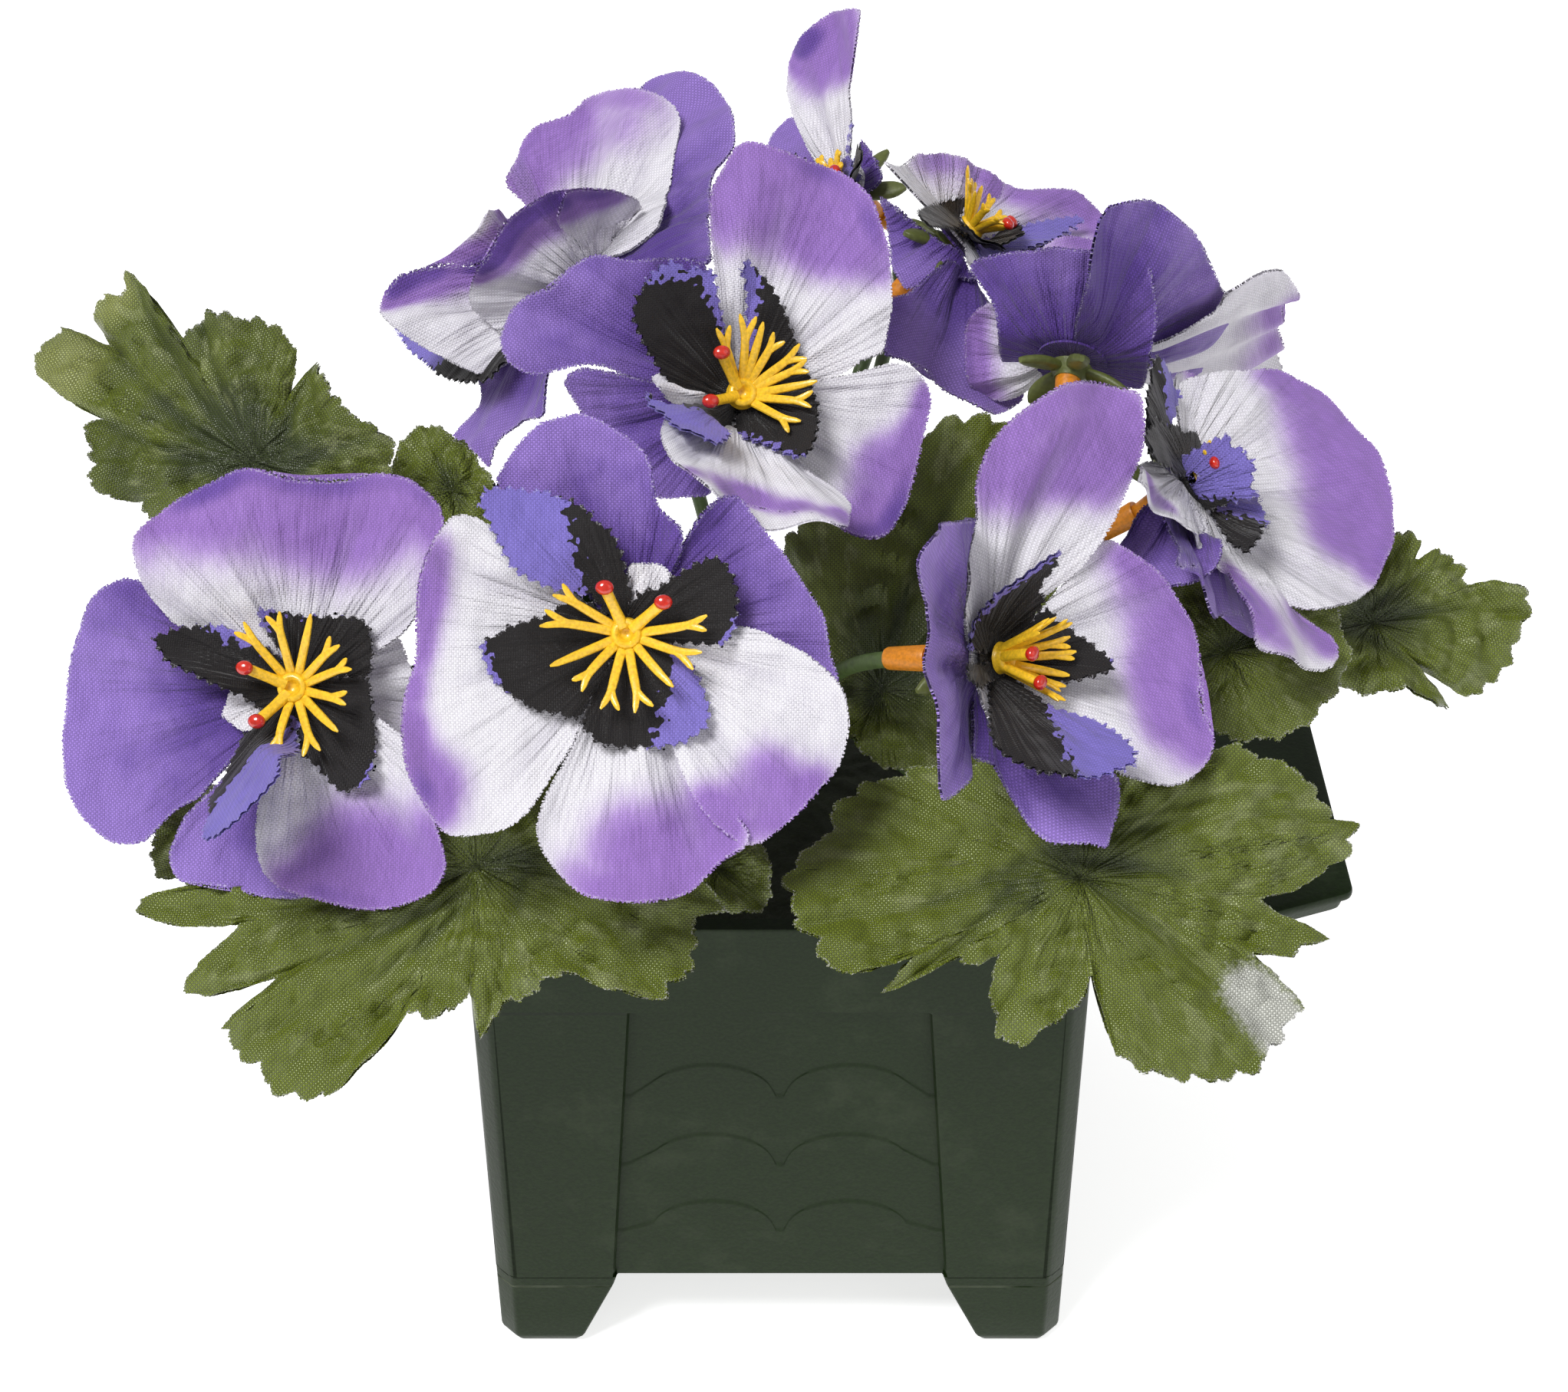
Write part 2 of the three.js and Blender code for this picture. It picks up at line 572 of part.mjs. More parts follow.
// Forked stamens in a fan, and two short pistils on the other side, as a star that rises from the flange
const STAMEN_FAN = 220;
const STAMEN_LENGTHS = [8.5, 7];
const FORK_SPREAD = 5;
const PISTIL_LENGTH = 5;
function stamens(head) {
  const outline = [];
  const { fan, rise, count } = head.stamens;
  const step = STAMEN_FAN / (count - 1);
  const valley = FLANGE_RADIUS + 0.6;
  for (let i = 0; i < count; i++) {
    const turn = fan - STAMEN_FAN / 2 + step * i;
    const steep = Math.hypot(1, rise);
    const [left, right] = STAMEN_LENGTHS.map((length) => valley + length / steep);
    outline.push([turn - FORK_SPREAD, i % 2 ? left : right], [turn, valley + left - right + 2]);
    outline.push([turn + FORK_SPREAD, i % 2 ? right : left]);
    outline.push([turn + step / 2, valley]);
  }
  for (const offset of [-25, 25]) {
    const turn = fan + 180 + offset;
    const reach = valley + PISTIL_LENGTH / Math.hypot(1, rise);
    outline.push([turn - 5, reach], [turn + 5, reach], [turn + 22, valley]);
  }
  const inner = FLANGE_RADIUS + 0.3;
  const base = FLANGE_BACK + FABRIC / 2 + 0.2;
  const heightAt = (turn, radius) => base + rise * (radius - inner);
  const matrix = facing(head);
  return starSolid({
    outline, rings: [1], heightAt, inner, sides: PLUG_SIDES, open: false, matrix, thickness: FABRIC,
  });
}

// Calyx: five rounded sepals that lie against the back of the petals, with a hole for the plug
function calyx(head) {
  const outline = [];
  for (let i = 0; i < SEPALS; i++) {
    outline.push(...SEPAL_OUTLINE.map(([turn, radius]) => [turn + (360 / SEPALS) * i, radius]));
  }
  const heightAt = (turn, radius) => CALYX_HEIGHT - CALYX_SLOPE * radius;
  const matrix = facing(head);
  return starSolid({
    outline, rings: [1], heightAt, inner: HOLE_RADIUS, sides: HOLE_SIDES, open: true, matrix,
    thickness: FABRIC,
  });
}

// Leaf: folded along the midrib, drooping and waved towards its edge
const LEAF_FOLD = 0.1;
const LEAF_WAVE = 1.2;
const LEAF_BASE = 2;
function leafSolid(leaf, thickness) {
  const heightAt = (turn, radius) => {
    const across = radius * Math.sin(radians(turn - leaf.midrib));
    const wave = LEAF_WAVE * (radius / 30) * Math.sin(radians(4 * turn));
    return LEAF_FOLD * Math.abs(across) - (leaf.droop * radius * radius) / 1000 + wave;
  };
  const { outline } = leaf;
  return starSolid({
    outline, rings: [0.5, 1], heightAt, inner: LEAF_BASE, sides: 6, open: false,
    matrix: facing(leaf), thickness,
  });
}

// Back end of a head's stem, and the way that it points there
function stemEnd(head) {
  const out = new THREE.Vector3().setFromMatrixColumn(facing(head), 2);
  return { out, end: new THREE.Vector3(...head.centre).addScaledVector(out, PEG_BACK - GAP) };
}

// Line of a stem from the trunk to the peg of a head, which it meets square on. The stems leave the
// trunk in an even ring, in the order in which they spread.
const STEM_LEAD = 18;
const STEM_RISE = 25;
const wayOut = (head) => (Math.atan2(stemEnd(head).end.y, stemEnd(head).end.x) + 2 * Math.PI) % (2 * Math.PI);
const SPREAD_ORDER = [...HEADS].sort((a, b) => wayOut(a) - wayOut(b));
function stemCurve(head) {
  const { out, end } = stemEnd(head);
  const slot = (360 / HEADS.length) * (SPREAD_ORDER.indexOf(head) + 0.5);
  const root = polar(slot, STEM_RING, STEM_ROOT_HEIGHT);
  const rise = new THREE.Vector3(root.x + 0.2 * end.x, root.y + 0.2 * end.y, root.z + STEM_RISE);
  return new THREE.CubicBezierCurve3(root, rise, end.clone().addScaledVector(out, -STEM_LEAD), end);
}

// Line of a leaf stalk: it branches off the stem of a head and stops just behind the leaf
const STALK_LEAD = 12;
const STALK_START = 0.3;
function stalkCurve(leaf) {
  const stem = stemCurve(HEADS.find((head) => head.name === leaf.stem));
  const out = new THREE.Vector3().setFromMatrixColumn(facing(leaf), 2);
  const end = new THREE.Vector3(...leaf.centre).addScaledVector(out, -FABRIC / 2 - 2 * GAP);
  const start = stem.getPoint(STALK_START);
  const away = end.clone().sub(start).setZ(0).multiplyScalar(0.3);
  const rise = start.clone().add(away);
  return new THREE.CubicBezierCurve3(start, rise, end.clone().addScaledVector(out, -STALK_LEAD), end);
}

function stemBush(extra) {
  const radius = TRUNK_RADIUS + extra;
  const trunk = [[0, TRUNK_FOOT], [radius, TRUNK_FOOT], [radius, TRUNK_TOP], [0, TRUNK_TOP]];
  const stems = HEADS.map((head) => tube(stemCurve(head), STEM_RADIUS + extra, 5, STEM_STEPS));
  const stalks = LEAVES.map((leaf) => tube(stalkCurve(leaf), STALK_RADIUS + extra, 4, STALK_STEPS));
  return join([turned(trunk, 8), ...stems, ...stalks].map(solidFromGeometry));
}

// Planter: a square tub on four feet. Each side has a recessed panel with three bands, each a little
// prouder than the one above, whose upper edges run as a pair of round arches between short flats.
function bandShape(bottom, top) {
  const slant = (height) => PANEL_TOP_HALF
    + ((PANEL_BOTTOM_HALF - PANEL_TOP_HALF) * (PANEL_TOP - height)) / (PANEL_TOP - PANEL_BOTTOM) - 0.2;
  const shape = new THREE.Shape();
  shape.moveTo(-slant(bottom), bottom);
  shape.lineTo(slant(bottom), bottom);
  shape.lineTo(slant(top), top);
  for (const centre of [ARCH_CENTRE, -ARCH_CENTRE]) {
    for (let i = 0; i <= ARCH_STEPS; i++) {
      const angle = (Math.PI * i) / ARCH_STEPS;
      shape.lineTo(centre + ARCH_HALF * Math.cos(angle), top + ARCH_RISE * Math.sin(angle) ** 0.9);
    }
  }
  shape.lineTo(-slant(top), top);
  return shape;
}

function planter() {
  const foot = BOX_FOOT_SIDE / 2;
  const half = BOX_SIDE / 2;
  let tub = loft([
    ringAt(cutSquare(foot - FOOT_BEVEL, CORNER_CUT), 0),
    ringAt(cutSquare(foot, CORNER_CUT), FOOT_BEVEL),
    ringAt(cutSquare(half, CORNER_CUT), BOX_HEIGHT),
  ]);
  const inner = half - WALL;
  tub = tub.subtract(box([-inner, -inner, FOOT_HEIGHT + FLOOR_THICKNESS], [inner, inner, BOX_HEIGHT + 1]));
  const wide = half - FOOT_WIDTH_BOTTOM;
  const narrow = half - FOOT_WIDTH_TOP;
  const floorHalf = half - PANEL_DEPTH;
  for (let side = 0; side < 4; side++) {
    const turn = (geometry) => solidFromGeometry(geometry.rotateZ((side * Math.PI) / 2));
    const slot = new THREE.Shape();
    slot.moveTo(-PANEL_BOTTOM_HALF, PANEL_BOTTOM).lineTo(PANEL_BOTTOM_HALF, PANEL_BOTTOM);
    slot.lineTo(PANEL_TOP_HALF, PANEL_TOP).lineTo(-PANEL_TOP_HALF, PANEL_TOP);
    tub = tub.subtract(turn(standing(slot, floorHalf, half + 1)));
    BAND_HEIGHTS.forEach((height, i) => {
      const band = bandShape(PANEL_BOTTOM - 0.5, height);
      tub = tub.add(turn(standing(band, floorHalf - 1, floorHalf + BAND_STEP * (i + 1))));
    });
    if (side < 2) {
      const arch = new THREE.Shape();
      arch.moveTo(-wide, -1).lineTo(wide, -1).lineTo(narrow, FOOT_HEIGHT).lineTo(-narrow, FOOT_HEIGHT);
      tub = tub.subtract(turn(standing(arch, -BOX_SIDE, BOX_SIDE)));
    }
  }
  for (const side of [-1, 1]) {
    const wing = (inset) => {
      const root = side * (half - WALL + 1);
      const tip = side * (WING_REACH - inset);
      const rootHalf = WING_ROOT_HALF - inset;
      return [[root, -rootHalf], [tip, -WING_TIP_HALF], [tip, WING_TIP_HALF], [root, rootHalf]];
    };
    tub = tub.add(loft([
      ringAt(wing(1.6), WING_TOP - WING_THICKNESS - WING_LIP),
      ringAt(wing(1), WING_TOP - WING_THICKNESS),
      ringAt(wing(0), WING_TOP - WING_THICKNESS + 0.4),
      ringAt(wing(0), WING_TOP),
    ]));
  }
  return tub;
}

// A shape stood upright in the XZ plane and given depth towards -Y, between two distances from the axis
function standing(shape, near, far) {
  const geometry = new THREE.ExtrudeGeometry(shape, { depth: far - near, bevelEnabled: false });
  return geometry.translate(0, 0, near).rotateX(Math.PI / 2);
}

function foam() {
  const half = BOX_SIDE / 2 - WALL - GAP;
  const block = box([-half, -half, FOOT_HEIGHT + FLOOR_THICKNESS + GAP], [half, half, FOAM_TOP]);
  const hole = TRUNK_RADIUS + GAP;
  const low = TRUNK_FOOT - GAP;
  const high = FOAM_TOP + 1;
  return block.subtract(solidFromGeometry(turned([[0, low], [hole, low], [hole, high], [0, high]], 8)));
}

// Pieces in the order in which they keep their shape. A later piece is cut clear of each earlier one by
// the earlier one's fatter copy.
const pieces = [];
function addPiece(name, material, solid, fat) {
  let clear = solid;
  for (const other of pieces) {
    if (other.fat && !clear.intersect(other.fat).isEmpty()) {
      clear = largestBody(clear.subtract(other.fat));
    }
  }
  pieces.push({ name, material, solid: clear, fat });
}

const FAT = FABRIC + 2 * GAP;
addPiece("planter_box", "planter", planter(), planter());
addPiece("floral_foam", "foam", foam(), null);
addPiece("stem_bush", "stem", stemBush(0), stemBush(0.5));
for (const head of HEADS) {
  addPiece(`flower_${head.name}_stamen_plug`, "stamen", plugCore(head, 0), plugCore(head, GAP));
}
for (const head of HEADS) {
  for (const kind of ["white", "eye", "violet"]) {
    const name = `flower_${head.name}_${kind}_petals`;
    addPiece(name, kind, petalLayer(head, kind, FABRIC), petalLayer(head, kind, FAT));
  }
}
for (const head of HEADS) {
  addPiece(`flower_${head.name}_calyx`, "calyx", calyx(head), calyx(head));
}
for (const leaf of LEAVES) {
  addPiece(leaf.name, "leaf", leafSolid(leaf, FABRIC), leafSolid(leaf, FAT));
}

// Stamens are cut where they meet a petal, and join their plug
for (const head of HEADS) {
  const plug = pieces.find((piece) => piece.name === `flower_${head.name}_stamen_plug`);
  const others = pieces.filter((piece) => piece !== plug && piece.fat);
  let whole = plug.solid.add(stamens(head));
  for (const other of others) {
    if (!whole.intersect(other.fat).isEmpty()) {
      whole = largestBody(whole.subtract(other.fat));
    }
  }
  plug.solid = whole;
}

const pansies = new THREE.Group();
for (const { name, material, solid } of pieces) {
  const look = new THREE.MeshStandardMaterial({ color: COLOURS[material], roughness: 0.7, metalness: 0 });
  const mesh = new THREE.Mesh(geometryFromSolid(solid), look);
  mesh.name = name;
  pansies.add(mesh);
}

// The origin is the middle of the object's footprint, on the surface that it stands on
const bounds = new THREE.Box3().setFromObject(pansies);
const middle = bounds.getCenter(new THREE.Vector3());
pansies.position.set(-middle.x, -middle.y, -bounds.min.z);
pansies.updateMatrixWorld(true);

export default pansies;
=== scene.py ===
import math

import bpy
import numpy as np
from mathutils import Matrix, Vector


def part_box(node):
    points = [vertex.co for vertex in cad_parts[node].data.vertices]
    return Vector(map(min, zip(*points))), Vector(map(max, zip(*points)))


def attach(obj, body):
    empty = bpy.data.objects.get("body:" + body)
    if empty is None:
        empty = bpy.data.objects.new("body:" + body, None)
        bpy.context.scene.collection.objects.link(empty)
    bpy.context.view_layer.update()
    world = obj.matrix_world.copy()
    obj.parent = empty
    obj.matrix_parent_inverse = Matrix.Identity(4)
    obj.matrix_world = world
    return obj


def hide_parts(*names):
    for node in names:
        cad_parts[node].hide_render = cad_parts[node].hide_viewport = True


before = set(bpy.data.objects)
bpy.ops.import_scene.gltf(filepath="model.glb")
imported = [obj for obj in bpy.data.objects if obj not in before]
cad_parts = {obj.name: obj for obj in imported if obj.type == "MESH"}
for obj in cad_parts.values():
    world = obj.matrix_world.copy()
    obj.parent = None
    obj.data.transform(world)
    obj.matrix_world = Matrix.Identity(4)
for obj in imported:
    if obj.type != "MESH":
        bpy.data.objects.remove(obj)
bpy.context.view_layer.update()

bl_info = {
    "name": "Pansy planter",
    "version": (1, 0, 0),
    "blender": (4, 5, 0),
    "location": "View3D > Sidebar > Pansies",
    "description": "Fabric pansies and leaves on plastic stems in a square planter",
    "category": "Object",
}

LOW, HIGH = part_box("planter_box")
ORIGIN = np.array([(LOW.x + HIGH.x) / 2, (LOW.y + HIGH.y) / 2, LOW.z])
MM = 0.001
UV_SPAN = 100.0

# Shapes of the heads and leaves, in millimetres and degrees, in the planter's frame: the planter's
# middle is at x = y = 0 and it stands on z = 0.

# Layers of a head: height on its axis, hub radius, wave at the rim
LAYERS = {
    "violet": {"height": 0.6, "hub": 5.8, "wave": 1.0},
    "white": {"height": 1.6, "hub": 5.0, "wave": 1.2},
    "eye": {"height": 2.6, "hub": 4.2, "wave": 0.4},
}

# A head is its centre and the way that it faces, the turn of its stamens' fan, their climb and length,
# and its petals; "arms" is how far the stamens are swept from the fan's middle, and the angle they span.
# A petal is its turn around the head, length, half width, rise, bend and twist, then its marks and its
# outline from the root round the tip, along and aside in millimetres; None is a plain rounded petal. A
# white petal's marks are its orchid stains: place along and aside, radius and strength. An eye petal's
# give its lilac side, where x * along + y * aside - offset is above zero.
HEADS = {
    "b": {
        "centre": (-22.3, -46.5, 148.4), "turn": 0, "lift": 36, "fan": 256, "climb": 0.5, "length": 11,
        "violet": [
            (102, 33, 13.5, 1, 4, 1, [],
             [-5, 0, -3.7, 1.8, 20.9, 14.6, 25.2, 10.6, 28.2, 6.3, 28.5, 0, 27.2, -2.2, 23.3, -6.4,
              21.2, -8, 19, -8.8, 14.1, -8.3, 12, -8.6, 8.6, -11.5, 4.6, -10.4, -0.7, -5.7]),
            (16, 29.5, 16, 1, -4, 0, [],
             [-5, 0, 9.9, 13.9, 13.7, 15.8, 16.1, 15.3, 17.1, 14.3, 17.6, 11.8, 20.5, 5.4, 23.7, -5.4,
              22.9, -11.8, 23.3, -15.7, 18.7, -15.9, 8.8, -10.1]),
        ],
        "white": [
            (197, 34, 22, 10, 8, -4, [(19.5, -18.2, 3.4, 0.6), (22, -15, 3.6, 1), (23.4, -11, 3.7, 0.8),
             (25.5, -5.9, 3.2, 0.65), (28, -0.8, 2.9, 0.75), (29.8, 4.6, 3.1, 1), (30.4, 10.2, 4.1, 1),
             (29.9, 14.9, 4.4, 0.9), (26.9, 13.5, 4.6, 0.55)],
             [-4.2, 0, 4.7, -12.8, 12.5, -22, 15.7, -23.6, 17.1, -23.1, 20.5, -20.4, 22.4, -18.1,
              23.9, -15.1, 26.7, -5.1, 29.7, -0.8, 32.3, 4.5, 33.1, 8.4, 33, 11.4, 30.2, 20.3, 28.2, 21.4,
              22.4, 22.3, 20.3, 22.2, 17.3, 20.7, 8.4, 13.4, 6.8, 11.2]),
            (274, 40, 15.5, 3, 2, -5, [(26.3, -3.9, 6.1, 0.7), (27.8, 1.6, 6.1, 0.75),
             (26.5, 7.2, 6.2, 0.75), (31.7, -6.5, 6.1, 0.5), (32.3, 2.4, 6.1, 0.6), (25, 10.7, 4.7, 0.9),
             (21.4, 7.6, 4.9, 0.4), (22, -1.4, 4.9, 0.35)],
             [-4.2, 0, 1.4, -4.6, 12.7, -9.4, 19.3, -13.7, 23.6, -15, 26.1, -14.7, 28.4, -13.6,
              32.7, -10.3, 34.1, -7.9, 35.3, -2.1, 35, 4.2, 34.3, 6.7, 29.8, 11.9, 28.1, 16, 26.1, 16.3,
              17.1, 10.1]),
            (331, 36.5, 16, 1, 2, 1, [(23.8, -8, 4.4, 0.75), (27.4, -9.9, 5.5, 0.75),
             (29.4, -5.5, 4.3, 0.4), (22.5, -13.8, 5.5, 0.7), (22.1, -5.1, 3.7, 0.3),
             (19.9, -15.9, 4.3, 0.7)],
             [-4.2, 0, 9.8, 9.1, 11.7, 9.9, 19.8, 10.4, 25.3, 9.4, 27.9, 8.2, 31, 4.1, 32.6, -1.8,
              30.7, -11, 27.8, -17.8, 24.9, -18.8, 21.2, -18.4, 16.4, -16.6]),
            (75, 12, 6, 8, 0, 0, [],
             [-4.2, 0, 1.9, 2.2, 6.4, 2.3, 7.3, -2.1, 6.1, -4.4, 1.4, -4.4]),
        ],
        "eye": [
            (129, 27, 9, 10.5, 4, 5, [(0.44, 0.9, 3.2)],
             [-3.4, 0, 0, 1.2, 4.1, 0.9, 5.8, 2.7, 8.3, 4.5, 13.5, 7.2, 16.3, 7.1, 25.8, 5, 26, 3.6,
              27.3, 2.8, 23.6, -1.4, 21.7, -2.8, 20.9, -4.5, 18.1, -5.4, 17.6, -6.8, 15.4, -6.9,
              14.2, -7.8, 12.2, -7.2, 10.3, -8.4, 6.2, -7.4, -2.3, -3.5]),
            (21, 18.5, 7.5, 10, 4, 1, [(0.64, -0.77, 11.2)],
             [-3.4, 0, -2.1, 4, 0.3, 5.7, 2.9, 5.1, 10.9, 6.5, 13.7, 6.1, 14.7, 4.5, 15.1, 2.4, 15.2, 0.4,
              14.5, -1.9, 13.3, -4.1, 11.8, -6.1, 9.5, -7.2, 3.9, -4.7, 0.4, -3.6]),
            (191, 21.5, 8, 12, 2, -1, [(0.99, 0.14, 16.8)],
             [-3.4, 0, -2.1, -3.3, 1.3, -6.5, 5, -6.6, 8.3, -5.2, 14.4, -4.6, 15.1, -3.7, 16.9, -3.6,
              18.2, -3, 18.8, -1.9, 18.1, 2.4, 16, 5.8, 12.2, 9.2, 9.8, 9.8, 6.4, 11.7, 0.7, 6.4]),
            (288, 18.5, 10, 5, 2, -4, [(0.53, 0.85, 6)],
             [-3.4, 0, 1, -5.8, 7.4, -10.9, 11.3, -9, 13, -5.7, 13.6, -2.8, 14.3, -1.5, 15.1, 3.3,
              13.6, 7.5, 11.1, 8.7, 6, 8.6, 3.6, 8, 0.1, 5.1]),
        ],
    },
    "a": {
        "centre": (-72.4, -41.3, 135), "turn": -10, "lift": 38, "fan": 20, "climb": 0.5, "length": 10.2,
        "violet": [
            (197, 35.5, 18.5, -4, 6, -12, [],
             [-5, 0, 5.2, -10.2, 15.3, -21.6, 18.1, -21.7, 22.3, -19.9, 28.9, -12.1, 30.7, -8.6,
              33.6, 0.2, 34.3, 7.2, 33.7, 10.2, 32.8, 13, 29.8, 17.3, 26.9, 18.4, 23.9, 18.5, 19.1, 14.9,
              16.8, 13.9, 14.1, 13.6, 1.5, 4.2]),
            (251, 35, 12, 0, -8, -6, [],
             [-5, 0, 3, -3, 10.7, -4.5, 19.9, -8.1, 26.3, -8.3, 28, -7.3, 29.7, -5.3, 27.4, 1.4,
              26.3, 8.2, 23.3, 14.4, 20.3, 14.5, 5.1, 6.3]),
        ],
        "white": [
            (91, 32.5, 22.5, 3, 8, 15, [(18.9, 19, 7.6, 0.7), (22.3, 11.3, 8.8, 0.8),
             (23.3, 2.6, 8.9, 0.85), (22.6, -6.3, 9.5, 0.95), (24.2, -13.5, 8.3, 0.85),
             (24.6, -19.2, 5.1, 0.6), (23.2, 15.9, 5.7, 0.6), (27, 10.3, 5, 0.5), (17, 0.2, 7, 0.35),
             (16.4, -7.8, 5.7, 0.4)],
             [-4.2, 0, -2.2, 0.7, -0.1, 11.1, 3.9, 19.3, 9.8, 23.5, 13.2, 24.8, 16.3, 25.2, 18.6, 24.5,
              23.6, 19.2, 28.9, 10.1, 29, 7.5, 27.4, 2.7, 27.3, -1.6, 27.4, -4.8, 29, -9.4, 28.7, -15.2,
              25.6, -19.8, 23.8, -20.8, 20.2, -21.2, 15.5, -20.4, 9.7, -18.3, 5.1, -15.4, 0.4, -9.3]),
            (23, 27, 16, -22, -8, 13, [(11.9, -10.5, 3.9, 0.35)],
             [-4.2, 0, 10.4, 2.9, 11.4, 5.1, 12.7, 4.3, 13.3, 1.3, 13.5, -6, 12.2, -11.8, 9, -16,
              4.8, -16.2, 0.5, -10.2]),
            (300, 36.5, 14.5, -2, 4, -12, [(20.5, 0.9, 7.6, 0.85), (22.3, -6.7, 6.3, 0.7),
             (26.5, 3.4, 7.6, 0.75), (23.6, -9.5, 5, 0.5), (27.6, -3, 7.6, 0.6), (27, 7.3, 5.7, 0.5),
             (15.5, -1.9, 5.1, 0.3)],
             [-4.2, 0, 5.8, -9.5, 9.2, -11.9, 13.4, -13.8, 17.1, -14.8, 20.3, -14.7, 23.4, -13.4, 30, -5,
              31.5, -2.3, 32.2, 0.9, 32.4, 7, 30.3, 10.4, 27.8, 11.1, 14.3, 12.8, 9.2, 12.5, 3.2, 8.7]),
            (205, 14, 6, 6, 0, 0, [],
             [-4.2, 0, -0.1, -2.4, 5.3, -3.6, 8.4, 0.1, 5.5, 4, -0.7, 3.3]),
        ],
        "eye": [
            (170, 22, 4.5, 16, 4, 30, [(-0.14, -0.99, 3.8)],
             [-3.4, 0, -4.2, -1.1, -0.1, -4.2, 8, -7.3, 10.8, -7.2, 13.4, -6.1, 16.9, -4.4, 19.8, -1.6,
              16.3, 2.2, 11.8, 2.9, 9.2, 3.7, 4.2, 4, -0.5, 5.3, -3.6, 1.2]),
            (239, 22.5, 5, 11.5, 4, 55, [(-0.28, 0.96, 2.4)],
             [-3.4, 0, -2.6, 0.4, 2.4, -2.4, 4.4, -2.5, 7.2, -4.3, 13, -0.2, 15.1, 1.9, 18.4, 2,
              20.5, 7.8, 23.2, 10.6, 25.3, 14.7, 24, 18.9, 20.9, 20.9, 14.3, 21.9, 10.4, 21.8, 2.2, 5.4,
              -1.2, 3.4]),
            (68, 20.5, 9, 7, 4, 12, [(-0.33, 0.95, 6.2), (0.92, 0.39, 8.6)],
             [-3.4, 0, -0.9, 3.3, 2.7, 9.4, 5.6, 10.6, 7.8, 3.3, 11.2, -4.1, 10.7, -6.1, 7.6, -8.5,
              3.5, -10.1, -0.9, -5.9]),
            (351, 12.5, 10, 2, 0, 3, [(1, -0.08, 12.1)],
             [-3.4, 0, -1.8, -6.7, -0.1, -9.7, 3.2, -11, 7.4, -13.4, 8.9, -13.5, 11, -12, 12.2, -10.5,
              12.1, -6.5, 8, 5, 2.4, 3.6]),
        ],
    },
    "d": {
        "centre": (30.1, -42.7, 141.7), "turn": 60, "lift": 19, "fan": 0, "climb": 2.0, "length": 10.2,
        "violet": [
            (153, 28, 20, 16, -8, 1, [],
             [21.7, -19.9, -3.3, -21.1, -0.7, -6.8, -3.1, 5.3, -5.1, 10.7, -4.6, 13.1, 7.5, 16.5,
              15.4, 19.3, 19, 19.8, 19.1, 15.2, 20.4, 11.5, 20.8, 5.1, 22, 2.7, 21.4, 0.6, 18.7, -2,
              17.7, -4.7, 18.6, -8, 27.8, -15, 26.8, -16.6, 24.2, -18, 19.9, -18.7]),
            (253, 33, 9.5, 26, 4, 45, [],
             [-5, 0, 2.1, -7, 7.3, -9.8, 10.5, -5.9, 20.7, -6.2, 24.5, -4.9, 28.2, -0.6, 29.5, -0.4,
              29.6, 1, 26.4, 6.1, 22.2, 8.4, 4.9, 5.1]),
        ],
        "white": [
            (44, 44, 12.5, 9, 12, -28, [(21.3, 9.3, 5.3, 0.75), (27.9, 5.7, 6.3, 0.9),
             (34.8, 1.9, 6.3, 0.8), (38.4, -4.9, 5.7, 0.7), (32.6, -5, 5.7, 0.8), (25.7, -1, 5.7, 0.75),
             (18.2, 4.8, 5, 0.5), (28.9, -2.6, 5.1, 0.7), (21.3, 3.4, 4.4, 0.5), (26.3, -6.3, 3.8, 0.5),
             (34.8, -8.4, 3.8, 0.35)],
             [-4.2, 0, -4.2, 6.9, 2, 10.1, 13.6, 10.4, 18.8, 12.4, 24.9, 12.3, 30.2, 10.7, 37.5, 6.7,
              38.8, 5.4, 40, 2.8, 42, -5, 43.3, -7.1, 35.1, -10.3, 29.4, -11.2, 22.6, -11.2, 12.9, -9.3,
              3.4, -5.4]),
            (322, 35, 18, 40, 6, -12, [(19.8, 14.8, 5.4, 0.75), (23.8, 10.4, 6.4, 0.8),
             (25.1, 4.4, 6.4, 0.9), (22.7, -0.3, 5.1, 0.8), (27.4, -1.7, 5.1, 0.7),
             (26.4, -7.8, 5.7, 0.8), (30, -8.7, 4.5, 0.7), (24, -6.9, 4.5, 0.5), (17.1, 18.1, 3.9, 0.4)],
             [-4.2, 0, 4.4, 7.9, 10, 15.3, 12.7, 19.8, 14.5, 21.5, 15.8, 21.2, 23.1, 17.3, 25.4, 15.1,
              29.3, 9.5, 30.3, 5.9, 30.1, -3, 31, -5.5, 32.9, -8.3, 32.9, -10.3, 32.2, -12.3, 30.4, -14.6,
              28, -16.5, 25.5, -17.3, 18.1, -16.1, 5.3, -6.1]),
            (247, 27.5, 10, 38, 4, 7, [],
             [-4.2, 0, -2.2, -4.7, 0.3, -4.2, 5.7, -9.6, 9.5, -10.3, 14.6, -6.4, 16.8, 0.8, 12, 3.8,
              0.3, 5.9]),
        ],
        "eye": [
            (41, 17, 5.5, 37, 4, -9, [(0.24, 0.97, 8.6), (-0.1, 0.99, 7.2)],
             [-3.4, 0, -5.4, 8, -3.1, 8.4, -0.4, 8.1, 4.8, 9.8, 6.7, 8.8, 14.3, 6.9, 16.9, 5.6, 13.7, 3.3,
              12, 3.2, 10, 2.5, 8.8, -1.4, 1.9, -3.4]),
            (321, 18, 5, 55, 4, -20, [(0.98, 0.18, 16.6)],
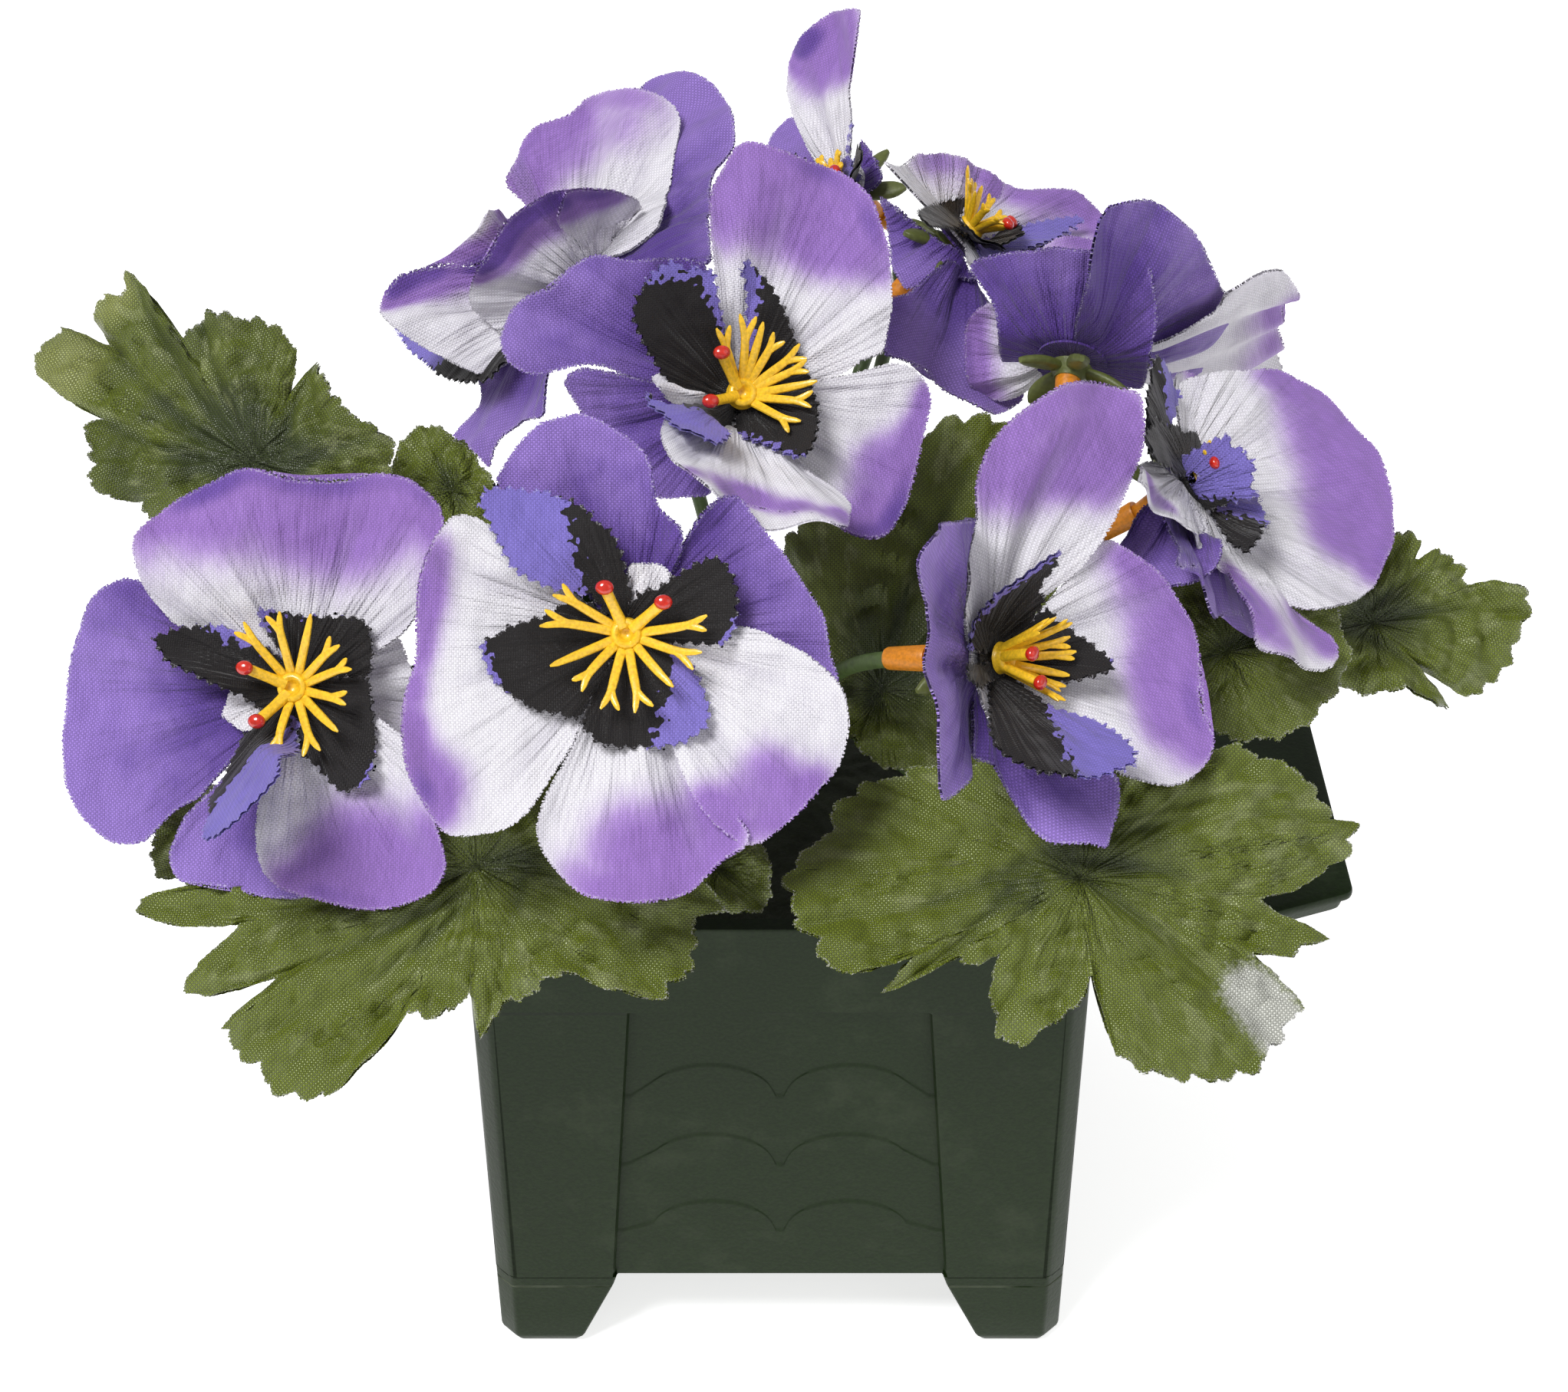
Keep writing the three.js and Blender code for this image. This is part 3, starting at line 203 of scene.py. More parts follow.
             [-3.4, 0, 1.5, 6.3, 5.3, 9.8, 6.9, 8.5, 7.2, 7.5, 8.6, 7, 10.8, 5.3, 12.2, 4.9, 13.3, 3.7,
              14.7, 2.9, 15.9, 1.7, 16.8, -0.2, 15.7, -1.1, 9.3, -3.5, 3.5, -3.1]),
            (261, 26.5, 8, 56, 4, 20, [(0.71, 0.7, 5.6)],
             [-3.4, 0, 0.7, -5.5, 5.4, -13.6, 6.6, -14.8, 8.5, -15.7, 16.1, -16.2, 17.8, -14.5,
              19.4, -13.7, 20.9, -12.3, 22.5, -10.3, 24.9, -6, 26.5, -4.7, 25, -3.2, 24.8, -1.1, 23.2, -1,
              22.4, 0.7, 21, 0.1, 20.1, 1.3, 18.7, 0.8, 17.5, 1.9, 16, 1, 14.8, 1.9, 13.4, 0.7, 12.1, 0.9,
              10.6, -0.1, 8.6, -0.4, 0.8, 2.7]),
            (216, 21.5, 6, 32, 4, 11, [(1, 0, 40)],
             [-3.4, 0, 2.7, -10.5, 7.5, -13.2, 7.3, -10.4, 6.2, -6.6, -0.5, 1.9, -3, 3.8]),
        ],
    },
    "c": {
        "centre": (-6.5, -3.8, 164.1), "turn": 14, "lift": 42, "fan": 338, "climb": 0.7, "length": 10.6,
        "arms": (50, 150),
        "violet": [
            (155, 39, 9.5, -3, 6, -6, [],
             [-5, 0, -2.7, -5.7, 1.7, -13.2, 5, -17.4, 6.8, -18.8, 11, -17.9, 17.4, -15, 22, -14.7,
              23.8, -14, 26.6, -10.6, 27.9, -7.3, 30.4, -6.1, 31.7, -4.8, 32.9, -2.6, 33.3, 2.4,
              32.4, 4.5, 30.4, 6.2, 26.5, 6.5, 19.5, 2.5, 16.1, 1.7, 9.6, 2.8, 2.1, 2.9]),
            (210, 24, 14, -7, -6, -10, [],
             [-5, 0, 10.9, -18.3, 13.2, -19, 15, -18.6, 17.1, -3.6, 16.9, 1.9, 14.6, 4.8, 8.3, 9.3,
              2.4, 6.6]),
        ],
        "white": [
            (65, 41, 14, 3, 6, 4, [(28.3, 11.6, 5.3, 0.7), (26, 7.1, 5.9, 0.75), (29.3, 1.6, 6.6, 0.8),
             (25.7, -2.2, 6, 0.9), (30.7, -5.8, 6, 0.75), (25.1, -8.7, 6, 0.85), (28.4, -11.3, 4.6, 0.7),
             (20.7, 8, 4.6, 0.6), (20, 2.7, 4.8, 0.4), (20.3, -5.1, 4.6, 0.7), (21, -12.3, 4.6, 0.5),
             (33.1, 6.7, 5.3, 0.55), (34.5, -2.1, 5.3, 0.55), (24, -13.9, 4, 0.5)],
             [-4.2, 0, 11.6, 8.8, 23.5, 13.6, 25.9, 13.7, 33.1, 12.1, 34.1, 11.4, 34.8, 9.7, 35.3, -4.2,
              34.8, -6.8, 32.5, -11.1, 25.5, -16.1, 16.6, -19, 8.7, -19.7, 7.5, -17.3, 3.3, -13.8,
              -2.1, -5.2]),
            (330, 31.5, 14, 2, 4, -4, [(23.2, 11, 2.7, 0.7), (23.2, 5.8, 4, 0.8), (23, -1.5, 5.9, 0.9),
             (21.1, -7.4, 5.9, 0.9), (25.1, -9.8, 5.3, 0.9), (20.5, -13.3, 4.2, 0.9),
             (17.8, -2.1, 3.9, 0.35), (19.3, 1.2, 3.3, 0.4)],
             [-4.2, 0, 16.7, 14.3, 20.7, 14.3, 23.7, 12.1, 24.4, 10.4, 26.2, -6.1, 25.5, -11.4,
              24.5, -13.4, 22.2, -14.6, 19.8, -14.9, 12.7, -13.1, 3.6, -5]),
            (256, 27, 14, 36, 10, -9, [(23.9, -9.4, 2.2, 0.6), (23, -4.3, 2.8, 0.9), (20, 2.3, 3.2, 1),
             (23.4, 7.7, 3.2, 1), (26.3, 13.2, 3.1, 1), (20, -0.8, 2.5, 0.8)],
             [-4.2, 0, -2.1, -5.2, 5, -11.8, 11, -13.3, 13.9, -13.4, 17.3, -12.7, 25.7, -9.2, 28.6, -6.6,
              22.4, -0.6, 22.6, 2.7, 31, 12.3, 30, 14.6, 20.1, 16.5, 12.2, 12.4, 2.6, 5.7]),
            (195, 12, 5, 12, 0, 0, [],
             [-4.2, 0, 1.3, -5.7, 8.2, -8.1, 10.1, -5.6, 8.9, -3.8, 3.6, -0.6]),
        ],
        "eye": [
            (120, 25, 8.5, 24.5, 4, -3, [(0.91, -0.42, 17.4), (-0.1, -0.99, 2.3)],
             [-3.4, 0, -1.2, 3.7, 2.3, 7.5, 5, 9, 7.4, 9.3, 12.7, 9.4, 17.8, 8.7, 20.7, 6.2, 20.5, 4.9,
              21.7, 4.5, 21.3, 3.1, 22.3, 2.5, 21.6, -2.1, 19.1, -3.4, 19.6, -4.8, 18.2, -4.7, 16.4, -7,
              6.5, -4]),
            (70, 21, 4.5, 18, 4, 14, [(-0.13, 0.99, -0.8)],
             [-3.4, 0, 0.8, 1.3, 11.2, 2.9, 13.9, 3.9, 16.6, 5.8, 16.4, 4.8, 18.3, 4.5, 15.6, -0.2,
              11.6, -4.2, 7.6, -7, 5.1, -8.2, 0, -6.1]),
            (183, 17, 5, 21, 4, 42, [(0.63, 0.78, 6.7)],
             [-3.4, 0, 5.3, 0.6, 9.6, 0.5, 11.8, -0.5, 12.6, -2.6, 13.4, -3.5, 14.2, -1.5, 15.3, 5.6,
              14.8, 8.9, 13.7, 12.3, 11.3, 13.7, 8.3, 12.2, -2.1, 4]),
            (302, 14, 8, 29.5, 4, -5, [(0.22, -0.98, 4.5)],
             [-3.4, 0, -5.8, 6, -5, 12.9, 1.7, 10.5, 7.8, 7.4, 11, 5, 13.9, 2.1, 14.7, -0.1, 13.9, -1.9,
              13, -2.8, 2.9, -5.3, -0.6, -5]),
        ],
    },
    "e": {
        "centre": (64.3, -4.7, 148.9), "turn": 75, "lift": 40, "fan": 0, "climb": 1.2, "length": 4.8,
        "violet": [
            (189, 23, 9, -11, -4, 64, [], None),
            (245, 26, 14, 0, -8, 0, [],
             [-5, 0, -4.6, -15.2, -2.6, -13.8, 1.6, -15.9, 4.2, -19.6, 6.4, -27.7, 8.9, -14.8,
              11.3, -20.2, 14.2, -21.2, 16, -20.3, 16.2, -7.4, 17.3, -2.7, 21.9, -2.7, 22.4, 6.1,
              13.9, 8.8, 5.7, 7.4]),
        ],
        "white": [
            (0, 24, 11, 2, 4, 0, [(20.8, -6.6, 6.1, 0.8), (20.8, 0, 6.1, 0.8), (20.8, 6.6, 6.1, 0.8)],
             None),
            (323, 34, 22, 24, 6, 0, [(24, 10.8, 6.3, 0.8), (28.3, 4, 6.9, 0.9), (28.3, -4.9, 6.9, 0.9),
             (21.4, 2.6, 6.2, 0.7), (23.1, -6.4, 6.9, 0.8), (25.9, -13.8, 6.9, 0.9),
             (18.8, -15.2, 5.7, 0.8), (20.4, 14, 4.9, 0.5), (24.1, -19.4, 4.9, 0.7),
             (17.6, -10, 4.8, 0.5)],
             [-4.2, 0, 1.7, 17.2, 5.3, 17.9, 20, 16.6, 23, 15.6, 27.9, 12.5, 29.8, 11, 31.1, 8.7,
              32.3, 1.4, 33.3, -1, 33.4, -10.3, 30.1, -16.9, 21.4, -24.2, 15.9, -25.9, 9, -26, 4.8, -24.1,
              1.5, -13, -1.2, -8.3]),
            (206, 25, 14, 5, 0, 0, [(9.7, -18.1, 2.8, 0.9), (9.1, -12.8, 2.3, 0.8), (18, 8.5, 3.9, 0.9),
             (22.6, 9.8, 4.6, 1), (17.5, 18.6, 4.3, 1), (15.3, 6.6, 2.6, 0.9), (18.6, 23.6, 3.3, 0.9),
             (11.2, 5.5, 2, 0.6)],
             [0.6, -14.6, -1.9, -11, -2.5, -8.5, -1.7, -6.4, -1.7, 0.4, -1, 3.5, 0.2, 5.4, 5.3, 6.1,
              7.4, 10.5, 9.7, 12, 11.5, 14.1, 13.1, 17.2, 13.8, 21.2, 16.8, 25.3, 18.7, 25.6, 21.2, 25.2,
              23.2, 24.2, 25, 22.5, 25.3, 20.4, 27.4, 14.9, 28.2, 6.7, 27.2, 5.7, 19.3, 6.4, 10.9, 4.6,
              8.7, 3.2, 7.5, 0.2, 10.2, -10.2, 9.5, -13.4, 12.9, -19.9, 18.9, -29.5, 14, -26.3]),
        ],
        "eye": [
            (55, 18, 6, 6, 4, 0, [(-0.21, -0.98, -5.7)],
             [-3.4, 0, -0.6, 13.7, 3.9, 16.5, 10.2, 13.3, 15.5, 5.3, 17.7, 3.3, 16.9, 2.3, 15, -2.1,
              13.8, -2.6, 12.9, -2, 11.4, -4, 10.1, -3.4, 6.4, 1.9, -0.1, 1.2]),
            (159, 16, 9, 78, 0, 0, [(0.56, -0.83, -1.9)],
             [-3.4, 0, 1.9, -0.4, -10.9, -3.2, -11.4, -5.1, 6.8, -4.6, 10.1, -4, 9.6, -2.1, 11.3, -0.5,
              10.7, 0.4, 11.9, 2, 10.9, 2.7, 10.7, 3.8, 9.2, 4.7, 9.2, 7.9, 6, 6.7, -6, 4.4]),
            (290, 14, 6, 34, 4, 0, [(0.41, 0.91, -3.6)],
             [-3.4, 0, 3.5, 0.2, 5.7, -0.6, 8.7, -1, 7.8, -3.4, 8.8, -4.5, 8.6, -5.7, 9.5, -7.4,
              7.7, -9.3, 7.9, -10.8, 5, -15.8, 3.7, -14.9, 1.8, -12.6, -0.2, -7]),
            (90, 16, 8, 10, 0, 0, [(1, 0, 40)],
             [-3.4, 0, 7.3, 16.6, 14.9, 25.8, 15.3, 17, 13.1, 7.8, 11.8, 5.3, 9.9, 3.8, 7.5, 0.2, 5, -4.8,
              3.6, -4.4, -0.5, -11.8, -1.2, -9.6, -3.2, -9.4, -2.7, -5.5, -4, -2.7]),
        ],
    },
    "j": {
        "centre": (47.6, 15.5, 160.4), "turn": 165, "lift": 30, "fan": 0, "climb": 2.0, "length": 10.2,
        "violet": [
            (92, 24, 14, 30, -4, 0, [],
             [-5, 0, -15, -6.4, -15, -9.4, -12.7, -10.8, -7.4, -12.2, 0.9, -12.5, 3.7, -13.5, 9, -18.9,
              11.1, -17, 16.2, -3.9, 15.8, 6.6, 15, 10.4, 13.1, 11.4, 4.5, 13.1, -11.4, 11.8,
              -11.2, 5.3]),
            (176, 35, 16, 40, -2, 0, [],
             [-5, 0, -3.6, -10.9, 0.7, -26.6, 8.3, -29.4, 12.7, -27.6, 15.2, -25.4, 17.4, -22.4,
              20.6, -15.7, 23.3, 0.1, 24.1, 3.5, 25.5, 5.7, 28.9, 21.8, 27.6, 31.8, 28.2, 43.1,
              19.3, 32.1, 1.4, 3.9]),
        ],
        "white": [
            (347, 19, 9, -5, 4, 39, [(13.3, -5.4, 5, 0.8), (13.3, 0, 5, 0.8), (13.3, 5.4, 5, 0.8)], None),
            (185, 40, 9, 30, 6, 0, [(33.2, 14.3, 5.7, 0.85), (34.2, 27.3, 5.1, 0.8),
             (34.8, 7.9, 4.2, 0.7), (33.3, 33.1, 4.4, 0.6)],
             [-4.2, 0, 9.3, 2, 21.9, -0.6, 22.8, -4.3, 26.8, -7.6, 29, -7.7, 31.2, -6.9, 35.8, 1.4,
              37.9, 8.9, 36, 8.3, 36.5, 14.2, 41.5, 39.8, 39.6, 42, 30.1, 38.8, 12.8, 22.5]),
            (274, 32, 11, 67, 8, -6, [(27.8, 0, 8.8, 1)], None),
        ],
        "eye": [
            (351, 13.5, 5, 34, 4, 77, [(0, 1, 1)], None),
            (213, 18, 6, 54, 4, -82, [(0, 1, 1)], None),
            (40, 14, 5, 30, 4, 0, [(1, 0, 30)], None),
            (120, 13, 5, 30, 4, 0, [(1, 0, 30)], None),
        ],
    },
    "f": {
        "centre": (30.1, 47.8, 166.3), "turn": 100, "lift": 42, "fan": 60, "climb": 0.9, "length": 8,
        "violet": [
            (194, 31, 12, -26, -6, 31, [],
             [3.2, -5.1, 12.8, -12.3, 13.9, -14.9, 25.9, -15, 24.6, -6.8, 23.5, -5.1, 26.9, -0.5,
              28.7, 4.7, 28.8, 6.7, 27.5, 9.3, 23.7, 12.7, 16.9, 6.8, 8.3, 5, 5.4, 3.8, 3.9, 1.6]),
            (147, 16.5, 9, -55, -10, 36, [],
             [0.4, 1, 2.2, 8.5, 3.9, 6.1, 12, 1.7, 11.2, -4.2, 4.3, -16.5, 2.5, -3.6, 1.7, -0.5]),
        ],
        "white": [
            (345, 27, 20, 30, 4, 0, [(4.7, 10.1, 5.1, 0.7), (9.5, 2.7, 4.7, 0.7), (15.3, -6.5, 5.2, 0.75),
             (23.2, -14.2, 5.7, 0.8), (21.1, -19.9, 5.2, 0.7), (12.9, -1.7, 4.4, 0.5),
             (16.3, -12.8, 5.2, 0.5)],
             [-4.2, 0, -15, 8.8, -15, 21.1, -15, 20.7, -9.2, 17.7, 0.8, 14.6, 3.8, 14.7, 9.6, 9.6,
              13.6, 3.6, 15.3, -2.4, 11.3, -2.7, 4.1, -1.9]),
            (320, 30, 12, 32, 4, 0, [(14.8, 1, 5.2, 0.75), (24.1, -4.3, 5.7, 0.8),
             (24.7, -10.5, 5.2, 0.8), (17.2, -5.1, 5.2, 0.5)],
             [-4.2, 0, 11.9, 6.4, 13.9, 6.6, 17.6, 2.1, 26, -2.5, 28.3, -7.1, 28.4, -9.7, 25.7, -12.8,
              22.1, -18.8, 14.9, -12.9, 4.7, -7.1]),
            (280, 30, 6, 25, 4, 0, [(28, 4.7, 3.3, 0.7), (26.9, 10.2, 3, 0.5)],
             [-4.2, 0, 22.9, 10.2, 29.5, 11.1, 30.8, 9.9, 29.9, 3.9, 31, 2.4, 22.5, -6.1, 13.2, -13.1,
              5.6, -14.2, 1.9, -11.4, -2.4, -10.5, -14.1, -19.1]),
        ],
        "eye": [
            (40, 12, 6, 32, 4, 0, [(1, 0, 40)],
             [-3.4, 0, -11.9, 31.6, -9.4, 34.5, -7.6, 32.3, -3.4, 21.1, 5, -4.5, 2.6, -4.3, -1, -1,
              -7.5, 10.6]),
            (300, 24, 4, 32, 4, 0, [(-0.23, 0.97, -8.6)],
             [-3.4, 0, 1.6, -0.2, 11.6, 0.9, 16.8, 0.7, 21.5, -0.1, 23.4, -1.3, 22.3, -2.2, 18.3, -3.1,
              13.8, -5.2, 6.5, -6.2, 3.4, -7, -0.2, -6.9, -15, -18.1, -15, -16.9]),
            (238, 10, 6, 45, 4, 13, [(1, 0, 30)], None),
            (168, 14, 5, 10, 4, 18, [(1, 0, 30)], None),
        ],
    },
    "h": {
        "centre": (-33.9, 34.6, 166.6), "turn": -60, "lift": 50, "fan": 180, "climb": 0.9, "length": 4,
        "violet": [
            (93, 40, 10, -14, 4, 0, [],
             [-5, 0, 1.5, -4.6, 7.9, -5.1, 14.3, 2.2, 27.5, 24.7, 31.9, 23.5, 33.7, 21, 36.7, 13.1,
              34.9, 5.7, 33.1, 1.8, 29.5, -1.9, 27, -2.7, 23.8, -5, 20.2, -8.8, 7.8, -30.8, -0.5, -12.6]),
            (281, 36, 9, -4, -10, 0, [],
             [-5, 0, 3.5, -5.2, 10.7, -7.4, 13, -8.7, 15.2, -9.2, 17.6, -8.5, 19.5, -6.5, 21.7, -5.4,
              28.9, -8.8, 29.5, -6.3, 29.2, -0.4, 31.1, 3.4, 26.8, 3.1, 24.4, 4.1, 21.6, 7.6, 19.1, 14.4,
              13.8, 11.1, 7.7, 5.6, -2.4, 4.2]),
        ],
        "white": [
            (260, 32.5, 8, 39, -6, -49, [(-3.9, -17.2, 5, 1.8), (1.2, -14.4, 4.3, 1.8),
             (-8.9, -14.3, 4.3, 1.6), (7.1, -6, 3.5, 1.8), (-12.8, -11, 4, 1.3), (12.5, -4.2, 3.5, 1.6),
             (19.1, -4.2, 3.5, 1.6), (24.3, -3.8, 3, 1.6), (27.4, -3.1, 2.1, 1.1)],
             [-4.2, 0, -0.7, 6.3, 6.1, 11.3, 12.3, 13.7, 16.7, 14.7, 19.4, 12.7, 21.5, 8.9, 28.8, 2.9,
              29.8, -1.6, 28.9, -3.3, 25.5, -5.1, 16.3, -5.7, 12.5, -5, 10.3, -5.6, 8.7, -6.9, 5.6, -11.3,
              -0.2, -22, -2.9, -22.4, -5.9, -21.8, -9.1, -19.5, -12.3, -16.2, -14.7, -12.4, -12.4, -4.4]),
            (56, 18.5, 13, 44, -6, -64, [(14.8, -4.6, 3.8, 1.4), (13.9, 0.2, 3.6, 1.2),
             (13.9, 3.1, 3, 0.6)],
             [-4.2, 0, -5.7, 4.4, 10.8, -5.3, 17.1, -4.7, 17.3, -2.1, 15.1, 3.2, 10.2, 8.6, 7.4, 10.6,
              8.8, 5.8, 0.5, 1.5]),
            (129, 34.5, 13.5, 1, 10, 35, [(11.9, 10.8, 5, 0.8), (18.1, 9.2, 5.4, 0.8),
             (20.7, 5.1, 5.7, 0.7), (26.1, -0.2, 6.5, 0.6), (25.7, -7.6, 5.4, 0.55),
             (16.2, 2.2, 5.4, 0.5), (11.2, 7.9, 4.3, 0.7), (20.1, -6, 4.3, 0.4)],
             [-4.2, 0, 7.9, 10.2, 9.6, 13.1, 10.5, 13.5, 12.6, 13.3, 17.8, 12, 22.2, 9.6, 25, 5.5,
              28.8, 3.9, 30.4, 1.9, 31.1, -0.5, 29.7, -10.2, 28.9, -12, 27.3, -13.5, 25, -14.3, 10.2, -15,
              2.4, -18.3, 0, -18.3, -3.6, -12.3]),
            (0, 24, 22, 82, 0, 0, [(14.1, 2.4, 4.4, 1.8), (15, -2.5, 3.6, 1.8), (11.6, 6.9, 3.8, 1.6),
             (14.7, -6, 2.7, 1.8), (-13.6, 10.4, 3.7, 1.3), (-9.6, 13.6, 3.1, 0.7),
             (15.8, -9.4, 2.5, 1.6)],
             [0.4, -1.7, -10.7, -16.1, 11.9, -15.7, 17.4, -9.9, 16.7, -7.9, 18.1, -2.9, 18, -0.3,
              16.5, 4.9, 12.1, 10.2, 6.5, 14.1, 3.9, 15.2, -1, 15.6, -1, 14.9, 0.5, 12.8]),
        ],
        "eye": [
            (232, 28, 6, -2, 0, 0, [(0.01, -1, -10.4)],
             [-3.4, 0, 5.7, 4.8, 15.3, 7.2, 26.6, 1.7, 36, -5.1, 35.6, -3.3, 31.5, 2.7, 22.4, 13,
              17.9, 16.8, 14.4, 19, 11.8, 20.1, 8.7, 20.5, 1.5, 13.4]),
            (212, 11, 5, 42, 4, -21, [(0, 1, 0)], None),
            (128, 13.5, 6, 12, 4, 30, [(1, 0, 30)], None),
            (330, 16, 5, 12, 4, -25, [(1, 0, 30)], None),
        ],
    },
    "g": {
        "centre": (11.9, 71, 164.7), "turn": -60, "lift": 40, "fan": 180, "climb": 0.6, "length": 3.5,
        "violet": [
            (177, 18, 9, 4, 0, 0, [],
             [-5, 0, 13.2, 7.6, 19.9, -0.5, 20.2, -3.3, 18.3, -4.4]),
            (85, 12, 6, -8, 0, 0, [],
             [-5, 0, -0.7, 2.4, 3.7, 5.9, 3.3, 1.1, 1.5, -6.3, -0.6, -7.1, -2.5, -5.7]),
        ],
        "white": [
            (135, 30, 9, 12, 6, 0, [(24.8, 1, 4.5, 0.9), (22.2, -2.6, 5.3, 0.85), (19, 0.8, 4.5, 0.9),
             (21.9, 3.1, 3.8, 0.8), (24.8, -6.5, 4.2, 0.8), (16.2, 2.1, 3.3, 0.6), (24.3, 4.4, 3.3, 0.6),
             (18.2, -5.1, 3, 0.45)],
             [-4.2, 0, 0.7, 4.8, 6.7, 7.2, 12.6, 8.4, 18.3, 8.7, 22.7, 7.9, 23.9, 6.9, 28.3, -1.8,
              28.4, -3.6, 25.7, -10.5, 26, -11.2, 25.2, -11.4, 20.5, -9.4, 13.3, -4, 8.8, -4.3,
              -0.2, -1.9]),
            (296, 21.5, 11, 31, 6, -47, [(16.4, -6.6, 6.1, 0.8), (16.4, 0, 6.1, 0.8),
             (16.4, 6.6, 6.1, 0.8)], None),
            (314, 28, 10, -18, 8, -73, [(21.5, -6, 5.5, 0.8), (21.5, 0, 5.5, 0.8), (21.5, 6, 5.5, 0.8)],
             None),
        ],
        "eye": [
            (115, 12, 4, 16, 0, 0, [(-0.13, -0.99, -18)],
             [-3.4, 0, -0.9, 1.7, 0.9, 2.1, 1.7, -0.3, 8.1, -0.8, 8.3, -2.7, 4.7, -1.7, 2.4, -1.9,
              0.1, -3.1, -0.8, -4.8, -2.9, -6.6]),
            (296, 11, 5, 43, 4, -40, [(1, 0, 30)], None),
            (30, 14, 5, 30, 4, 0, [(1, 0, 30)], None),
            (210, 13, 5, 30, 4, 0, [(1, 0, 30)], None),
        ],
    },
}

# A leaf is its centre, the way that it faces, the turn of its midrib, its droop, the head whose stem
# carries it, and its outline as turn and radius about the centre. Its "worn" places and its "pale"
# places of painted light are x, y and radius about the centre, and "shade" darkens it as painted shade.
LEAVES = {
    "leaf_front_left": {
        "centre": (-46, -56.7, 113), "turn": -5, "lift": 45, "midrib": 200, "droop": 1.5, "stem": "b",
        "outline": [
            (354, 38.5), (348, 35), (339, 36), (328, 36), (317, 22.5), (304, 21), (286, 22), (276, 25.5),
            (273, 19.5), (262, 23.5), (250, 24), (247, 32), (243, 39.5), (238, 43), (230, 45),
            (220, 46.5), (216, 45), (213, 33), (209, 46), (207, 48.5), (203, 47.5), (200, 42.5),
            (197, 36), (194, 48), (190, 53), (188, 51), (186, 37.5), (164, 25), (30, 18), (5, 32.5),
        ],
    },
    "leaf_front_right": {
        "centre": (45.6, -57.7, 111.6), "turn": 5, "lift": 45, "midrib": 330, "droop": 1.5, "stem": "d",
        "worn": [(24, -18, 4.8), (27.5, -22, 5.4), (30, -27, 4.6)],
        "outline": [
            (2, 42.5), (8, 44.5), (10, 39.5), (16, 40), (25, 38), (28, 34), (37, 31.5), (58, 18),
            (134, 25), (151, 36), (168, 40), (171, 44), (187, 44.5), (194, 42.5), (200, 39), (202, 28),
            (207, 37), (209, 24), (216, 22), (219, 17), (227, 22.5), (238, 27), (246, 27), (265, 18.5),
            (271, 15.5), (276, 28), (286, 31), (297, 36.5), (316, 39.5), (326, 38.5), (331, 34),
            (333, 28), (337, 35.5), (344, 39.5), (347, 31), (351, 27.5), (355, 35.5),
        ],
    },
    "leaf_left_back": {
        "centre": (-84.6, 1.2, 150.3), "turn": -15, "lift": 45, "midrib": 150, "droop": 1, "stem": "h",
        "shade": 0.3, "pale": [(-37, 11, 9), (-31, 25, 5)],
        "outline": [
            (8, 23.5), (16, 24), (30, 18), (56, 17.5), (68, 19.5), (71, 12), (81, 19.5), (89, 22),
            (106, 24), (122, 25.5), (131, 24.5), (133, 33), (135, 40), (140, 38), (143, 41.5),
            (149, 42), (152, 34.5), (155, 44), (167, 44.5), (173, 28.5), (202, 25.5), (209, 20.5),
            (283, 12.5), (341, 22.5),
        ],
    },
    "leaf_right": {
        "centre": (98.8, -0.1, 119.8), "turn": 15, "lift": 42, "midrib": 0, "droop": 1, "stem": "e",
        "shade": 0.12,
        "outline": [
            (65, 15.5), (54, 17.5), (49, 17), (46, 13), (36, 18), (25, 19), (12, 17.5), (9, 24.5),
            (1, 27.5), (354, 27.5), (346, 26), (328, 24.5), (314, 20.5), (308, 9), (302, 19.5),
            (279, 12), (226, 12.5), (188, 21.5), (155, 23.5), (118, 15),
        ],
    },
    "leaf_right_inner": {
        "centre": (71.3, -19.8, 127.3), "turn": 20, "lift": 50, "midrib": 200, "droop": 1, "stem": "e",
        "outline": [
            (328, 19), (315, 17.5), (295, 17), (272, 15.5), (241, 14), (212, 20), (179, 21.5),
            (143, 17.5), (89, 14.5), (27, 18.5), (352, 21.5),
        ],
    },
    "leaf_centre": {
        "centre": (16.5, -20, 120), "turn": 0, "lift": 42, "midrib": 65, "droop": 0.5, "stem": "c",
        "shade": 0.2,
        "outline": [
            (80, 41.5), (75, 47.5), (65, 51), (51, 45.5), (31, 33.5), (0, 22), (303, 20), (292, 14.5),
            (239, 9.5), (195, 14), (144, 21.5), (116, 30.5), (96, 33),
        ],
    },
    "leaf_left_inner": {
        "centre": (-53.2, 3.5, 143.2), "turn": -10, "lift": 45, "midrib": 120, "droop": 0.5, "stem": "a",
        "outline": [
            (157, 11), (136, 12.5), (116, 12.5), (98, 9), (47, 6), (5, 8), (326, 12), (284, 13),
            (227, 11.5),
        ],
    },
    "leaf_front_middle": {
        "centre": (-10.2, -48.8, 106.8), "turn": 0, "lift": 50, "midrib": 330, "droop": 0.5, "stem": "b",
        "outline": [
            (345, 9.5), (321, 10.5), (295, 8.5), (249, 6.5), (188, 8.5), (135, 8.5), (72, 7.5),
            (16, 8.5),
        ],
    },
    "leaf_left_tip": {
        "centre": (-87.5, -42.1, 106), "turn": -20, "lift": 45, "midrib": 215, "droop": 0.5, "stem": "a",
        "outline": [
            (156, 10.5), (186, 11.5), (215, 12.5), (237, 8.5), (321, 9.5), (12, 11.5), (70, 8.5),
        ],
    },
}


